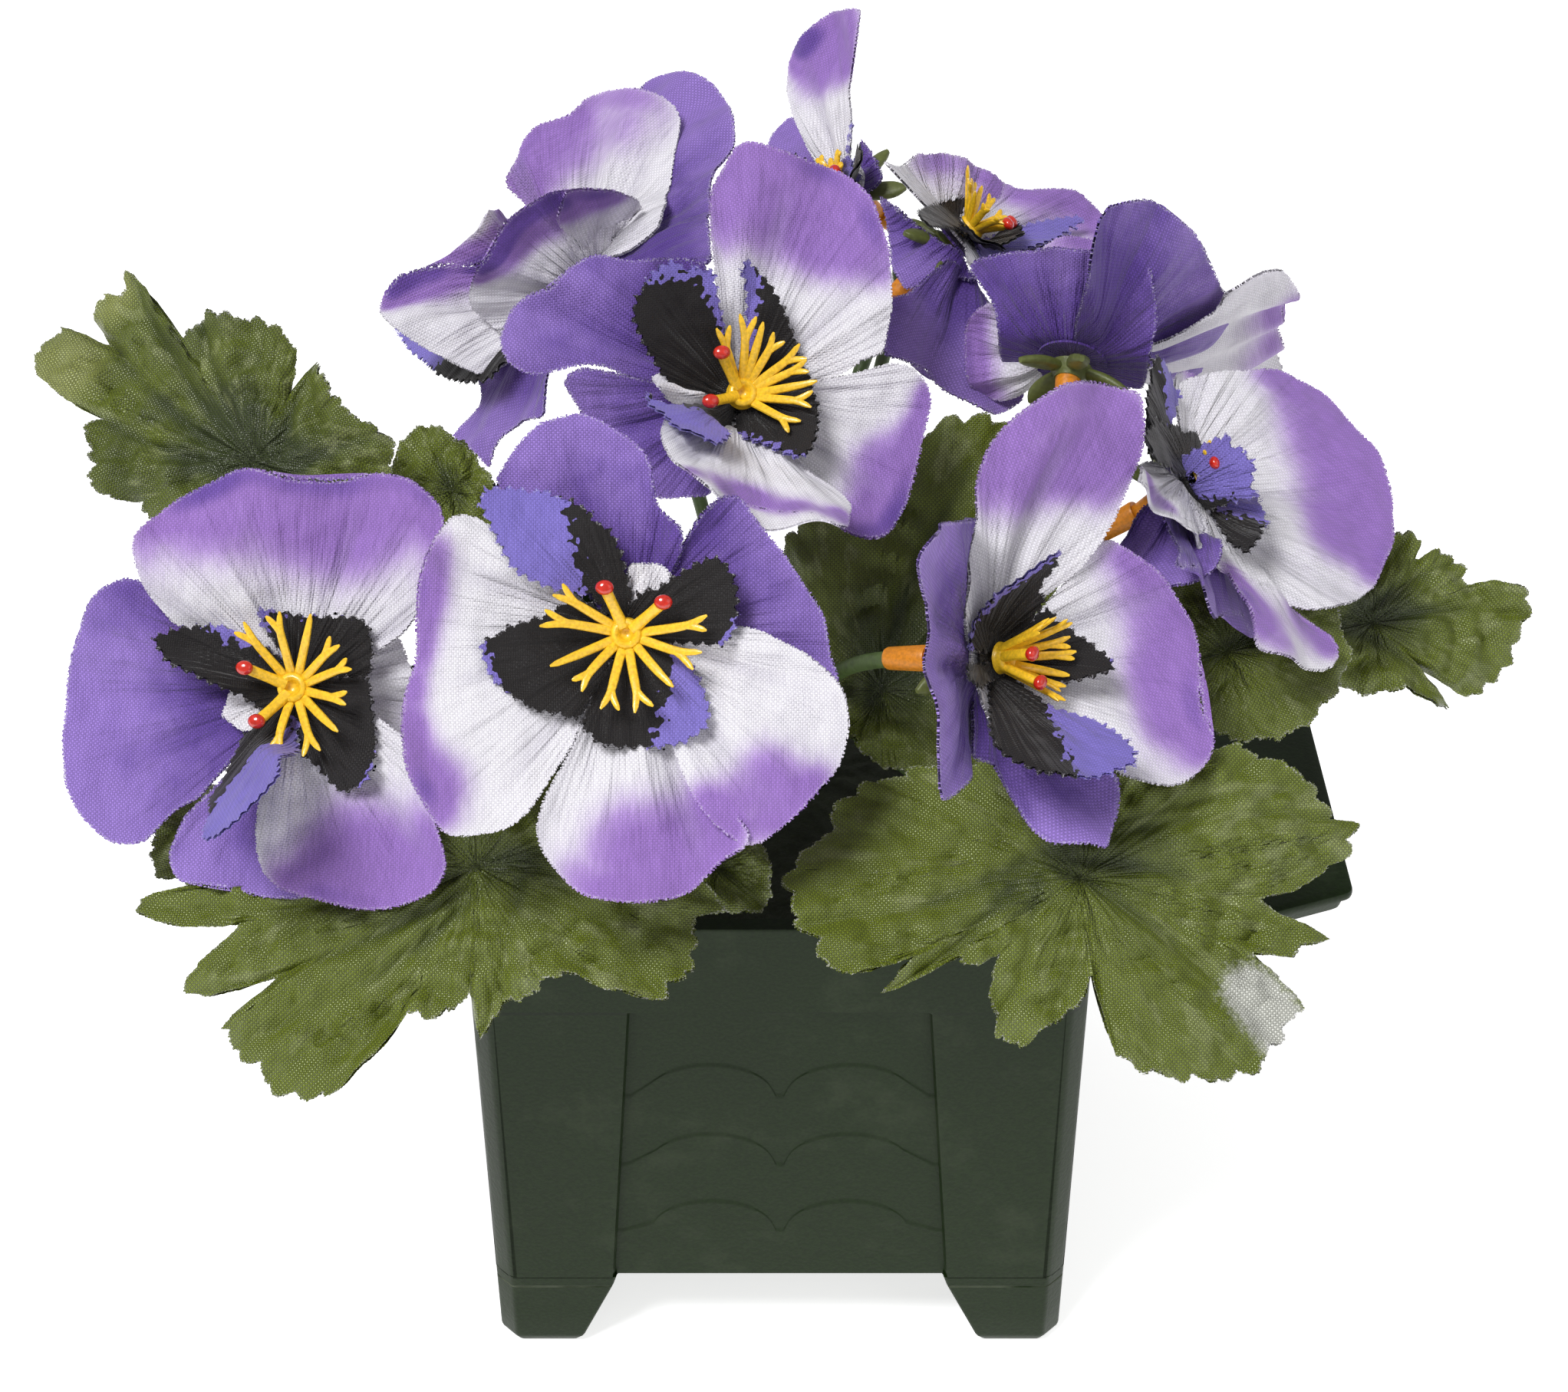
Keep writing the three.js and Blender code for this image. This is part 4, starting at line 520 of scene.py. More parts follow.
def smooth(low, high, value):
    """Share from 0 to 1 that eases in and out as value goes from low to high."""
    share = np.clip((value - low) / (high - low), 0, 1)
    return share * share * (3 - 2 * share)


def unit(vectors):
    """Each vector divided by its length."""
    return vectors / np.maximum(np.linalg.norm(vectors, axis=-1, keepdims=True), 1e-12)


def facing(place):
    """Axes of a head or leaf as rows, right, up and out, and its centre."""
    turn, lift = math.radians(place["turn"]), math.radians(place["lift"])
    out = np.array([math.sin(turn) * math.cos(lift), -math.cos(turn) * math.cos(lift), math.sin(lift)])
    right = np.array([math.cos(turn), math.sin(turn), 0.0])
    return np.array([right, np.cross(out, right), out]), np.array(place["centre"], float)


def placed(points, place):
    """Points of a head's or leaf's own frame in the planter's frame."""
    axes, centre = facing(place)
    return points @ axes + centre


def polar(turn, radius, height):
    """Points at a turn in degrees, a radius and a height about an axis."""
    angle = np.radians(turn)
    return np.stack(np.broadcast_arrays(radius * np.cos(angle), radius * np.sin(angle), height), axis=-1)


# Surfaces. A surface is a dict of points, lists of faces by number of corners, a place on the cloth for
# the UV map, numbers that the materials read, and the material's number.

def surface(points, faces, cloth=None, material=0, **numbers):
    """One closed surface, with its points in rows."""
    flat = points.reshape(-1, 3)
    return {
        "points": flat,
        "faces": faces,
        "cloth": np.zeros((len(flat), 2)) if cloth is None else cloth.reshape(-1, 2),
        "numbers": {name: np.broadcast_to(value, len(flat)) for name, value in numbers.items()},
        "material": material,
    }


def grid_quads(rows, columns, wrap):
    """Corners of the quads of a grid. With wrap the last column joins the first."""
    i, j = np.meshgrid(np.arange(rows - 1), np.arange(columns if wrap else columns - 1), indexing="ij")
    k = (j + 1) % columns
    quads = np.stack([i * columns + j, (i + 1) * columns + j, (i + 1) * columns + k, i * columns + k], -1)
    return quads.reshape(-1, 4)


def sheet(middle, thickness, cloth, wrap=False, material=0, **numbers):
    """Cloth with both faces and a rim: the middle surface moved half the thickness each way along its
    normals, which are the cross product of its two directions. With wrap the columns go round a
    middle point that the first row surrounds."""
    rows, columns = middle.shape[:2]
    along = np.gradient(middle, axis=0)
    if wrap:
        across = (np.roll(middle, -1, axis=1) - np.roll(middle, 1, axis=1)) / 2
    else:
        across = np.gradient(middle, axis=1)
    normal = unit(np.cross(along, across))
    flat = middle.reshape(-1, 3)
    lift = normal.reshape(-1, 3) * thickness / 2
    count = rows * columns
    front = grid_quads(rows, columns, wrap)
    j = np.arange(columns if wrap else columns - 1)
    k = (j + 1) % columns
    edges = [np.stack([(rows - 1) * columns + j, (rows - 1) * columns + k], -1)]
    if not wrap:
        i = np.arange(rows - 1)
        edges.append(np.stack([i * columns, (i + 1) * columns], -1))
        edges.append(np.stack([(i + 1) * columns + columns - 1, i * columns + columns - 1], -1))
        edges.append(np.stack([j + 1, j], -1))
    points = [flat + lift, flat - lift]
    faces = [front, front[:, ::-1] + count]
    cloth = cloth.reshape(-1, 2)
    places = [cloth, cloth]
    values = {name: np.broadcast_to(value, middle.shape[:2]).reshape(-1) for name, value in numbers.items()}
    doubled = {name: np.concatenate([value, value]) for name, value in values.items()}
    if wrap:
        centre = flat[:columns].mean(axis=0)
        axis = unit(lift[:columns].mean(axis=0)) * thickness / 2
        points += [(centre + axis)[None], (centre - axis)[None]]
        faces.append(np.stack([np.full(columns, 2 * count), j, k], -1))
        faces.append(np.stack([np.full(columns, 2 * count + 1), count + k, count + j], -1))
        places += [cloth[:columns].mean(axis=0)[None]] * 2
        doubled = {
            name: np.append(value, [value[:columns].mean()] * 2) for name, value in doubled.items()
        }
    edge = np.concatenate(edges)
    faces.append(np.stack([edge[:, 1], edge[:, 0], edge[:, 0] + count, edge[:, 1] + count], -1))
    return surface(np.concatenate(points), faces, np.concatenate(places), material, **doubled)


def rings(points, cloth=None, material=0, **numbers):
    """Closed body through rings of points that turn anticlockwise about the way they follow. Each end
    is closed by a fan about the middle of its ring."""
    rows, columns = points.shape[:2]
    j = np.arange(columns)
    k = (j + 1) % columns
    count = rows * columns
    ends = np.stack([points[0].mean(axis=0), points[-1].mean(axis=0)])
    last = (rows - 1) * columns
    faces = [
        grid_quads(rows, columns, True)[:, ::-1],
        np.stack([np.full(columns, count), k, j], -1),
        np.stack([np.full(columns, count + 1), last + j, last + k], -1),
    ]
    if cloth is not None:
        first, final = cloth[0].mean(axis=0), cloth[-1].mean(axis=0)
        cloth = np.concatenate([cloth.reshape(-1, 2), first[None], final[None]])
    values = {}
    for name, value in numbers.items():
        full = np.broadcast_to(value, points.shape[:2]).reshape(-1)
        values[name] = np.append(full, [full[0], full[-1]])
    return surface(np.concatenate([points.reshape(-1, 3), ends]), faces, cloth, material, **values)


def turned(profile, sides, place=None, material=0, squash=1.0):
    """Profile of radius and height turned about an axis."""
    profile = np.array(profile, float)
    turns = np.arange(sides) * 360 / sides
    points = polar(turns[None], profile[:, :1], profile[:, 1:])
    points[..., 1] *= squash
    points = points if place is None else placed(points, place)
    return rings(points, material=material)


def tube(path, radius, sides, material=0):
    """Tube of a changing radius along a path. Each ring lies across the path, on two axes that the
    path's own direction and one fixed direction give."""
    ahead = unit(np.gradient(path, axis=0))
    helper = np.eye(3)[np.argmin(np.abs(ahead).max(axis=0))]
    first = unit(np.cross(np.broadcast_to(helper, ahead.shape), ahead))
    second = np.cross(ahead, first)
    angle = (2 * np.pi * np.arange(sides) / sides)[None, :, None]
    radius = np.broadcast_to(radius, len(path))[:, None, None]
    ring = first[:, None] * np.cos(angle) + second[:, None] * np.sin(angle)
    return rings(path[:, None] + radius * ring, material=material)


def bezier(start, first, second, end, share):
    """Points of a cubic curve at each share of its way."""
    s = share[:, None]
    return (1 - s) ** 3 * start + 3 * (1 - s) ** 2 * s * first + 3 * (1 - s) * s**2 * second + s**3 * end


def add_piece(name, surfaces, materials, nodes, sharp=55):
    """One object from surfaces, with the numbers of its points as attributes. It rides on the body,
    stands for its nodes and is at the origin, with its place in its mesh."""
    mesh = bpy.data.meshes.new(name)
    points = np.concatenate([part["points"] for part in surfaces]) * MM + ORIGIN
    mesh.vertices.add(len(points))
    mesh.vertices.foreach_set("co", points.astype(np.float32).ravel())
    corners, sizes, kinds, first = [], [], [], 0
    for part in surfaces:
        for block in part["faces"]:
            corners.append((block + first).ravel())
            sizes.append(np.full(len(block), block.shape[1]))
            kinds.append(np.full(len(block), part["material"]))
        first += len(part["points"])
    corners, sizes = np.concatenate(corners), np.concatenate(sizes)
    mesh.loops.add(len(corners))
    mesh.loops.foreach_set("vertex_index", corners.astype(np.int32))
    mesh.polygons.add(len(sizes))
    mesh.polygons.foreach_set("loop_start", np.concatenate([[0], np.cumsum(sizes)[:-1]]).astype(np.int32))
    mesh.polygons.foreach_set("material_index", np.concatenate(kinds).astype(np.int32))
    mesh.update(calc_edges=True)
    mesh.polygons.foreach_set("use_smooth", np.ones(len(sizes), bool))
    mesh.set_sharp_from_angle(angle=math.radians(sharp))
    cloth = np.concatenate([part["cloth"] for part in surfaces]) / UV_SPAN
    mesh.uv_layers.new(name="cloth").data.foreach_set("uv", cloth[corners].astype(np.float32).ravel())
    for key in sorted({key for part in surfaces for key in part["numbers"]}):
        values = [part["numbers"].get(key, np.zeros(len(part["points"]))) for part in surfaces]
        attribute = mesh.attributes.new(key, "FLOAT", "POINT")
        attribute.data.foreach_set("value", np.concatenate(values).astype(np.float32))
    piece = bpy.data.objects.new(name, mesh)
    bpy.context.scene.collection.objects.link(piece)
    for material in materials:
        mesh.materials.append(material)
    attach(piece, "root")
    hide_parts(*nodes)
    return piece


# Petals

PETAL_ROOT = 0.3
PETAL_WIDEST = 0.62
PETAL_CUP = 0.15
HUB_MARGIN = 0.8
RING_POINTS = 480
RING_EASE = {"violet": 0.8, "white": 0.8, "eye": 0.2}
ROW_MARGIN = 0.004
PETAL_STEP = 0.07
SWELL = 0.8
RIM_LIFT = 0.35
RIM_STAIN = 2.3
EYE_SHARE = 0.4
LILAC_NONE = -5.0


def arc(length, slope, bend, share):
    """Out and up at a share of an arc of that length that starts with a slope and bends evenly."""
    end = slope + bend * share
    return (np.sin(end) - np.sin(slope)) * length / bend, (np.cos(slope) - np.cos(end)) * length / bend


def petal_width(along):
    """Half width as a share of the widest: a quarter sine to the widest place, then a rounded end."""
    rise = np.sin(np.minimum(along / PETAL_WIDEST, 1) * np.pi / 2)
    end = np.maximum((along - PETAL_WIDEST) / (1 - PETAL_WIDEST), 0)
    return (PETAL_ROOT + (1 - PETAL_ROOT) * rise) * np.sqrt(np.maximum(1 - end**2.4, 0))


def petal_reach(petal, layer):
    """Length of the middle line from the hub's rim, its first slope and its bend, in radians."""
    length, rise, bend = petal[1], math.radians(petal[3]), math.radians(petal[4] or 0.1)
    tip_out, tip_up = arc(length, rise, bend, 1)
    start = layer["hub"] - HUB_MARGIN
    chord = math.hypot(tip_out - start, tip_up)
    return chord * (bend / 2) / math.sin(bend / 2), math.atan2(tip_up, tip_out - start) - bend / 2, bend


def petal_form(petal, layer, phase, along, aside, extra=0.0):
    """Points of a petal in its head's frame, at millimetres along its middle line from the hub's rim
    and aside of it. The middle line is an arc. Across it the petal is cupped by the square of the side
    distance, waved by a sine that grows towards the tip, and twisted about the middle line."""
    turn, half, twist = petal[0], petal[2], petal[5]
    reach, slope, bend = petal_reach(petal, layer)
    share = np.maximum(along, 0) / reach
    out, up = arc(reach, slope, bend, share)
    tilt = (slope + bend * share) * smooth(-1, 3, along)
    twisted = math.radians(twist) * smooth(0, 0.45 * reach, along)
    side = aside / half
    cup = PETAL_CUP * half * side**2 / (1 + 0.2 * side**2) * smooth(-2, 8, along)
    wave = layer["wave"] * np.minimum(share, 1.2) ** 1.5 * np.sin(1.5 * np.pi * side + phase)
    lift = aside * np.sin(twisted) + cup + wave + extra
    x = layer["hub"] - HUB_MARGIN + np.minimum(along, 0) + out - lift * np.sin(tilt)
    y = aside * np.cos(twisted)
    z = layer["height"] + up + lift * np.cos(tilt)
    c, s = math.cos(math.radians(turn)), math.sin(math.radians(turn))
    return np.stack([x * c - y * s, x * s + y * c, z], -1)


def petal_ring(petal, layer, ease):
    """Outline as evenly spaced points from the root, eased by a bell curve of that many millimetres."""
    if petal[7]:
        corners = np.reshape(petal[7], (-1, 2)).astype(float)
    else:
        share = np.sin(np.pi / 2 * np.linspace(0, 1, 16))
        width = petal[2] * petal_width(share)
        way = petal_reach(petal, layer)[0] * share
        start = [(HUB_MARGIN - layer["hub"], 0)]
        corners = np.concatenate([start, np.stack([way, -width], -1), np.stack([way, width], -1)[-2::-1]])
    closed = np.concatenate([corners, corners[:1]])
    way = np.concatenate([[0], np.cumsum(np.linalg.norm(np.diff(closed, axis=0), axis=1))])
    places = np.linspace(0, way[-1], RING_POINTS, endpoint=False)
    ring = np.stack([np.interp(places, way, closed[:, axis]) for axis in (0, 1)], -1)
    step = way[-1] / RING_POINTS
    shifts = np.arange(-24, 25)
    shares = np.exp(-((shifts * step / ease) ** 2) / 2)
    eased = sum(np.roll(ring, -shift, axis=0) * share for shift, share in zip(shifts, shares))
    return eased / shares.sum(), step


def petal_surface(head, kind, index, rows, columns, thickness, fold_depth, seed):
    """A petal in the planter's frame. Its flat grid joins the two halves of its outline, from the root
    to the far end, by straight lines, and petal_form lifts it. Pleats are sines of the angle about the
    hub that die away outwards, broader swells die away at the rim, and the rim curls up and down."""
    layer = LAYERS[kind]
    petal = HEADS[head][kind][index]
    reach = petal_reach(petal, layer)[0]
    ring, step = petal_ring(petal, layer, RING_EASE[kind])
    half_way = RING_POINTS // 2
    even = np.linspace(0, 1, rows)
    eased = (1 - np.cos(np.pi * even)) / 2
    places = (ROW_MARGIN + (1 - 2 * ROW_MARGIN) * (eased + even) / 2) * half_way
    back = np.roll(ring[::-1], 1, axis=0)
    numbers = np.arange(RING_POINTS)
    left = np.stack([np.interp(places, numbers, ring[:, axis]) for axis in (0, 1)], -1)
    right = np.stack([np.interp(places, numbers, back[:, axis]) for axis in (0, 1)], -1)
    across = np.linspace(0, 1, columns)[None, :, None]
    flat = (1 - across) * left[:, None] + across * right[:, None]
    along, aside = flat[..., 0], flat[..., 1]
    gaps = np.linalg.norm(flat.reshape(-1, 1, 2) - ring[None], axis=-1)
    nearest = gaps.argmin(axis=1)
    edge = gaps.min(axis=1).reshape(along.shape)
    start = layer["hub"] - HUB_MARGIN
    random = np.random.default_rng(seed)
    turn_out = random.uniform(0, 6.3, 3)
    angle = np.arctan2(aside, start + along + 2)
    fade = smooth(0, 0.25, along / reach) * (1 - 0.85 * smooth(0.35, 1.0, along / reach))
    coarse = np.sin(9 * angle + turn_out[0] + 2 * np.sin(3 * angle))
    fold = fade * (coarse + 0.7 * np.sin(21 * angle + turn_out[1]))
    curl = np.sin(0.33 * aside + 0.27 * along + turn_out[2])
    curl = (1 - smooth(0, 3.5, edge)) * smooth(2, 10, along) * curl
    swell = np.sin(4.5 * angle + turn_out[1] + 0.12 * along)
    swell = SWELL * smooth(0, 8, edge) * smooth(4, 14, along) * swell
    rim_lift = RIM_LIFT * (EYE_SHARE if kind == "eye" else 1)
    extra = fold_depth * fold + swell + rim_lift * curl + PETAL_STEP * index
    middle = petal_form(petal, layer, 2.1 * index, along, aside, extra)
    turn = math.radians(petal[0])
    c, s = math.cos(turn), math.sin(turn)
    way = start + along
    cloth = np.stack([way * c - aside * s, way * s + aside * c], -1)
    values = {"edge": edge, "along": along / reach, "fold": fold, "spoke_x": np.cos(angle + turn),
              "spoke_y": np.sin(angle + turn), "rim": (nearest * step).reshape(edge.shape)}
    if kind == "white":
        stain = np.zeros_like(edge)
        for a, b, radius, strength in petal[6]:
            stain = stain + strength * np.exp(-((along - a) ** 2 + (aside - b) ** 2) / radius**2)
        values["stain"] = stain * (RIM_STAIN + (1 - RIM_STAIN) * smooth(0, 5, edge))
    if kind == "eye":
        values["lilac"] = np.max([kx * along + ky * aside - offset for kx, ky, offset in petal[6]], axis=0)
    return sheet(placed(middle, HEADS[head]), thickness, cloth, **values)


def hub_surface(head, kind, thickness, sides=48):
    """Round hub of a layer: a flat ring about a small middle."""
    layer = LAYERS[kind]
    radius = np.array([0.6, 2.0, 3.4, layer["hub"] * 0.9, layer["hub"]])[:, None]
    turns = (np.arange(sides) * 360 / sides)[None]
    middle = polar(turns, radius, layer["height"] - 0.27 - 0.03 * radius)
    numbers = {"edge": 5.0, "along": 0.0, "fold": 0.0, "rim": 0.0,
               "spoke_x": np.cos(np.radians(turns)), "spoke_y": np.sin(np.radians(turns))}
    if kind == "white":
        numbers["stain"] = 0.0
    if kind == "eye":
        numbers["lilac"] = LILAC_NONE
    return sheet(placed(middle, HEADS[head]), thickness, middle[..., :2], wrap=True, **numbers)


def add_layers(kind, material, settings):
    """Every head's layer of one kind."""
    thickness = settings.fabric_thickness / MM
    pleats = settings.pleat_depth / MM * (EYE_SHARE if kind == "eye" else 1)
    for number, head in enumerate(HEADS):
        parts = [hub_surface(head, kind, thickness)]
        for index in range(len(HEADS[head][kind])):
            parts.append(petal_surface(
                head, kind, index, settings.petal_rows, settings.petal_columns, thickness, pleats,
                97 * number + 7 * index + len(kind),
            ))
        add_piece(
            f"pansy_{head}_{kind}", parts, [material], [f"flower_{head}_{kind}_petals"]
        )


# Stamens and their plug

FLANGE_TOP = 4.7
STAMEN_START = 1.7
STAMEN_FAN = 220
STAMENS = 9
PISTIL_TURN = 38
PISTIL_START = 1.2
BEAD_MATERIAL = 1
PEG_MATERIAL = 2

# Profiles about a head's axis: radius and height
PEG_PROFILE = [
    (0.05, -9.95), (1.0, -9.95), (1.25, -9.4), (2.3, -2.6), (2.25, -2.1), (1.9, -1.9), (0.05, -1.9),
]
SLEEVE_PROFILE = [(0.05, -16.6), (1.6, -16.6), (1.78, -16.2), (2.05, -9.6), (1.9, -9.2), (0.05, -9.2)]
POST_PROFILE = [(0.05, -2.2), (1.05, -2.2), (1.05, 3.2), (0.05, 3.2)]
RING_PROFILE = [
    (0.05, 3.25), (2.2, 3.25), (2.45, 3.45), (2.35, 3.8), (2.2, 4.1), (2.28, 4.5), (2.2, 4.85),
    (1.95, 5.1), (1.6, 5.15), (1.3, 4.95), (1.05, 4.5), (0.8, 4.1), (0.45, 3.9), (0.05, 3.85),
]
BEAD_PROFILE = [(0.05, -0.7), (0.9, -0.6), (1.25, -0.2), (1.35, 0.2), (1.2, 0.6), (0.7, 0.9), (0.05, 0.95)]
CUP_PROFILE = [(0.3, -0.7), (2.8, -0.75), (3.6, -1.2), (3.2, -2.2), (2.6, -3.0), (2.35, -3.6), (0.3, -3.6)]


def band(path, width, depth, place, sides=10, material=0):
    """Flat, rounded arm along a path in a head's frame: each ring lies across the path, with its width
    level with the petals and its depth square to that."""
    ahead = unit(np.gradient(path, axis=0))
    level = unit(np.cross(np.array([0.0, 0.0, 1.0]), ahead))
    upward = np.cross(ahead, level)
    angle = 2 * np.pi * np.arange(sides) / sides
    shape = np.stack([np.cos(angle), np.sin(angle)], -1)
    shape = np.sign(shape) * np.abs(shape) ** 0.8
    width = np.broadcast_to(width, len(path))[:, None, None]
    depth = np.broadcast_to(depth, len(path))[:, None, None]
    ring = path[:, None] + width * level[:, None] * shape[None, :, :1]
    ring = ring + depth * upward[:, None] * shape[None, :, 1:]
    return rings(placed(ring, place), material=material)


def stamen(turn, climb, length, spread, fork, bow):
    """One stamen as flat arms: a way out that climbs and wanders, and a prong that leaves it at the
    fork and turns aside."""
    steep = math.hypot(1, climb)
    parts = []
    for share, side, shape in (
        (np.linspace(0, 1, 12), -0.6, [(0, 0.72), (0.6, 0.66), (0.8, 0.52), (0.94, 0.42), (1, 0.16)]),
        (np.linspace(fork, 0.97, 8), 1.1, [(fork, 0.5), (0.8, 0.52), (0.92, 0.42), (0.97, 0.16)]),
    ):
        if side > 0 and not spread:
            break
        reach = STAMEN_START + length * share / steep
        height = FLANGE_TOP - 0.8 + climb * (reach - STAMEN_START) + bow * np.sin(np.pi * share * 0.9)
        path = polar(turn + side * spread * smooth(fork, 1.1, share) + 5 * bow * share**2, reach, height)
        known, widths = zip(*shape)
        parts.append((path, np.interp(share, known, widths)))
    return parts


def stamen_parts(head, seed):
    """Plug, ring with a dimple, forked stamens and two pistils with red beads of one head."""
    place = HEADS[head]
    random = np.random.default_rng(seed)
    fan, climb = place["fan"], place["climb"]
    parts = [
        turned(PEG_PROFILE, 24, place, PEG_MATERIAL), turned(SLEEVE_PROFILE, 24, place, PEG_MATERIAL),
        turned(POST_PROFILE, 16, place), turned(RING_PROFILE, 36, place),
    ]
    sweep, spread_all = place.get("arms", (0, STAMEN_FAN))
    step = spread_all / (STAMENS - 1)
    for i in range(STAMENS):
        turn = fan + sweep - spread_all / 2 + step * i + random.uniform(-4, 4)
        spread = 0 if i in (2, 6) else random.uniform(7, 11)
        length = place["length"] + random.uniform(-1.2, 0.8)
        for path, width in stamen(turn, climb, length, spread * random.choice([-1, 1]),
                                  random.uniform(0.5, 0.64), random.uniform(-0.2, 0.7)):
            parts.append(band(path, width, width * 0.62, place))
    for offset in (-PISTIL_TURN, PISTIL_TURN):
        turn = fan + 180 + offset
        share = np.linspace(0, 1, 8)
        reach = PISTIL_START + 0.6 * place["length"] * share / math.hypot(1, climb)
        path = polar(turn, reach, FLANGE_TOP - 0.4 + climb * (reach - PISTIL_START) + 1.1 * share**2)
        width = np.interp(share, [0, 0.5, 0.85, 1], [0.95, 0.8, 0.85, 0.6])
        parts.append(band(path, width, width * 0.85, place, 14))
        bead = dict(place, centre=tuple(placed(path[-1:] + [0, 0, 0.2], place)[0]))
        parts.append(turned(BEAD_PROFILE, 22, bead, BEAD_MATERIAL, 0.82))
    return parts


# Calyx

SEPALS = 5


def calyx_parts(head, seed):
    """Five chubby sepals behind the petals: flat arms that swell, bend back and end round, around a
    small cup."""
    place = HEADS[head]
    random = np.random.default_rng(seed)
    parts = [turned(CUP_PROFILE, 28, place)]
    share = np.linspace(0, 1, 14)
    width = np.interp(share, [0, 0.3, 0.55, 0.8, 0.93, 1], [1.1, 1.6, 1.8, 1.6, 1.0, 0.25])
    width = np.convolve(np.pad(width, 1, mode="edge"), [0.2, 0.6, 0.2], "valid")
    for number in range(SEPALS):
        turn = 360 / SEPALS * (number + 0.5) + random.uniform(-7, 7)
        length = 8.6 + random.uniform(-1.0, 0.8)
        reach = 1.4 + (length - 0.2) * share
        drop = -1.6 - 0.12 * reach - 0.022 * reach**2 + random.uniform(-0.15, 0.15)
        path = polar(turn + random.uniform(-9, 9) * share**2, reach, drop)
        parts.append(band(path, width, 0.5 + 0.4 * np.sin(np.pi * share) ** 0.7, place, 14))
    return parts


# Leaves

LEAF_THICKNESS = 0.45
LEAF_FOLD = 0.1
LEAF_WAVE = 1.8
LEAF_CREASE = 0.9
LOBE_DROOP = 1.6
LARGE_LEAF = 24
LEAF_GRIDS = {True: (420, 24), False: (160, 12)}


def leaf_radius(leaf, turns):
    """Outline radius at each turn, linear between the table's corners, with small rounded teeth and soft
    waves.
    """
    table = sorted((turn % 360, radius) for turn, radius in leaf["outline"])
    known = np.array([turn for turn, _ in table])
    radii = np.array([radius for _, radius in table])
    fine = np.interp(turns, np.r_[known[-1] - 360, known, known[0] + 360], np.r_[radii[-1], radii, radii[0]])
    teeth = np.abs(np.sin(np.radians(turns) * round(2.2 * radii.mean() / 2)))
    angle = np.radians(turns)
    soft = 0.02 * np.sin(angle * 17 + radii[0]) + 0.015 * np.sin(angle * 41 + radii[1])
    return fine * (1 - 0.03 * (1 - teeth) ** 2 + soft)


def leaf_surface(leaf, sides, rows, vein_depth, curl, seed):
    """A leaf about its own centre. Its height is a fold along the midrib, a droop with the square of the
    radius, a wave four times around, grooves along the veins, products of sines as crumples, creases
    beside the veins, drooping lobes and a curled rim."""
    turns = (np.arange(sides) * 360 / sides)[None]
    angle = np.radians(turns)
    radius = leaf_radius(leaf, turns)
    share = np.linspace(0.03, 1, rows)[:, None]
    reach = radius * share
    random = np.random.default_rng(seed)
    midrib = leaf["midrib"]
    across = reach * np.sin(np.radians(turns - midrib))
    x = reach * np.cos(angle)
    y = reach * np.sin(angle)
    table = sorted((turn % 360, r) for turn, r in leaf["outline"])
    tips = [
        t for i, (t, r) in enumerate(table)
        if r > table[i - 1][1] and r >= table[(i + 1) % len(table)][1]
    ]
    base = -0.25 * radius.mean() * np.array([math.cos(math.radians(midrib)), math.sin(math.radians(midrib))])
    vein = np.full(x.shape, 99.0)
    for tip in tips:
        length = np.interp(tip, [t for t, _ in table], [r for _, r in table])
        end = length * np.array([math.cos(math.radians(tip)), math.sin(math.radians(tip))])
        way = end - base
        along = np.clip(((x - base[0]) * way[0] + (y - base[1]) * way[1]) / (way @ way), 0, 1)
        bow = 0.06 * np.linalg.norm(way) * np.sin(np.pi * along)
        aside = unit(np.array([-way[1], way[0]]))
        vein = np.minimum(vein, np.hypot(
            x - base[0] - along * way[0] - bow * aside[0], y - base[1] - along * way[1] - bow * aside[1]
        ) + 0.8 * along)
    wave = LEAF_WAVE * (reach / 30) * np.sin(4 * angle)
    height = LEAF_FOLD * np.abs(across) - leaf["droop"] * reach**2 / 1000 + wave
    groove = 0.5 * np.exp(-((vein - 4) / 3) ** 2) - np.exp(-(vein / 1.6) ** 2)
    broad = np.sin(0.45 * x + 1.3 * np.sin(0.3 * y) + seed) * np.sin(0.5 * y + np.sin(0.35 * x))
    fine = np.sin(1.1 * x + 1.5 * np.sin(0.7 * y)) * np.sin(1.2 * y + np.sin(0.9 * x) + seed)
    rim = smooth(0.75, 1.02, share)
    height = height + vein_depth * groove + (0.8 * broad + 0.3 * fine) * share
    height = height + curl * rim * np.sin(angle * 5 + random.uniform(0, 6.3))
    folds = np.exp(-((vein - 5) / 3.0) ** 2) * np.sin(1.15 * reach + 2.2 * np.sin(3 * angle) + seed)
    lobe_droop = LOBE_DROOP * smooth(0.6, 1.05, share) * np.sin(angle * 3 + 1.7 * seed)
    height = height + LEAF_CREASE * folds * smooth(0.1, 0.5, share) * (1 - 0.7 * rim)
    height = height + lobe_droop * radius / 40
    middle = np.stack([x, y, height], -1)
    cloth = np.stack([x, y], -1)
    edge = radius - reach
    worn, pale = (
        sum((np.exp(-((x - a) ** 2 + (y - b) ** 2) / r**2) for a, b, r in leaf.get(name, ())), 0 * x)
        for name in ("worn", "pale"))
    return sheet(
        placed(middle, leaf), LEAF_THICKNESS, cloth, wrap=True, edge=edge, vein=vein, along=share, worn=worn,
        pale=pale, spoke_x=np.cos(angle), spoke_y=np.sin(angle), rim=angle * radius.mean(),
        shade=leaf.get("shade", 0.0))


# Stems

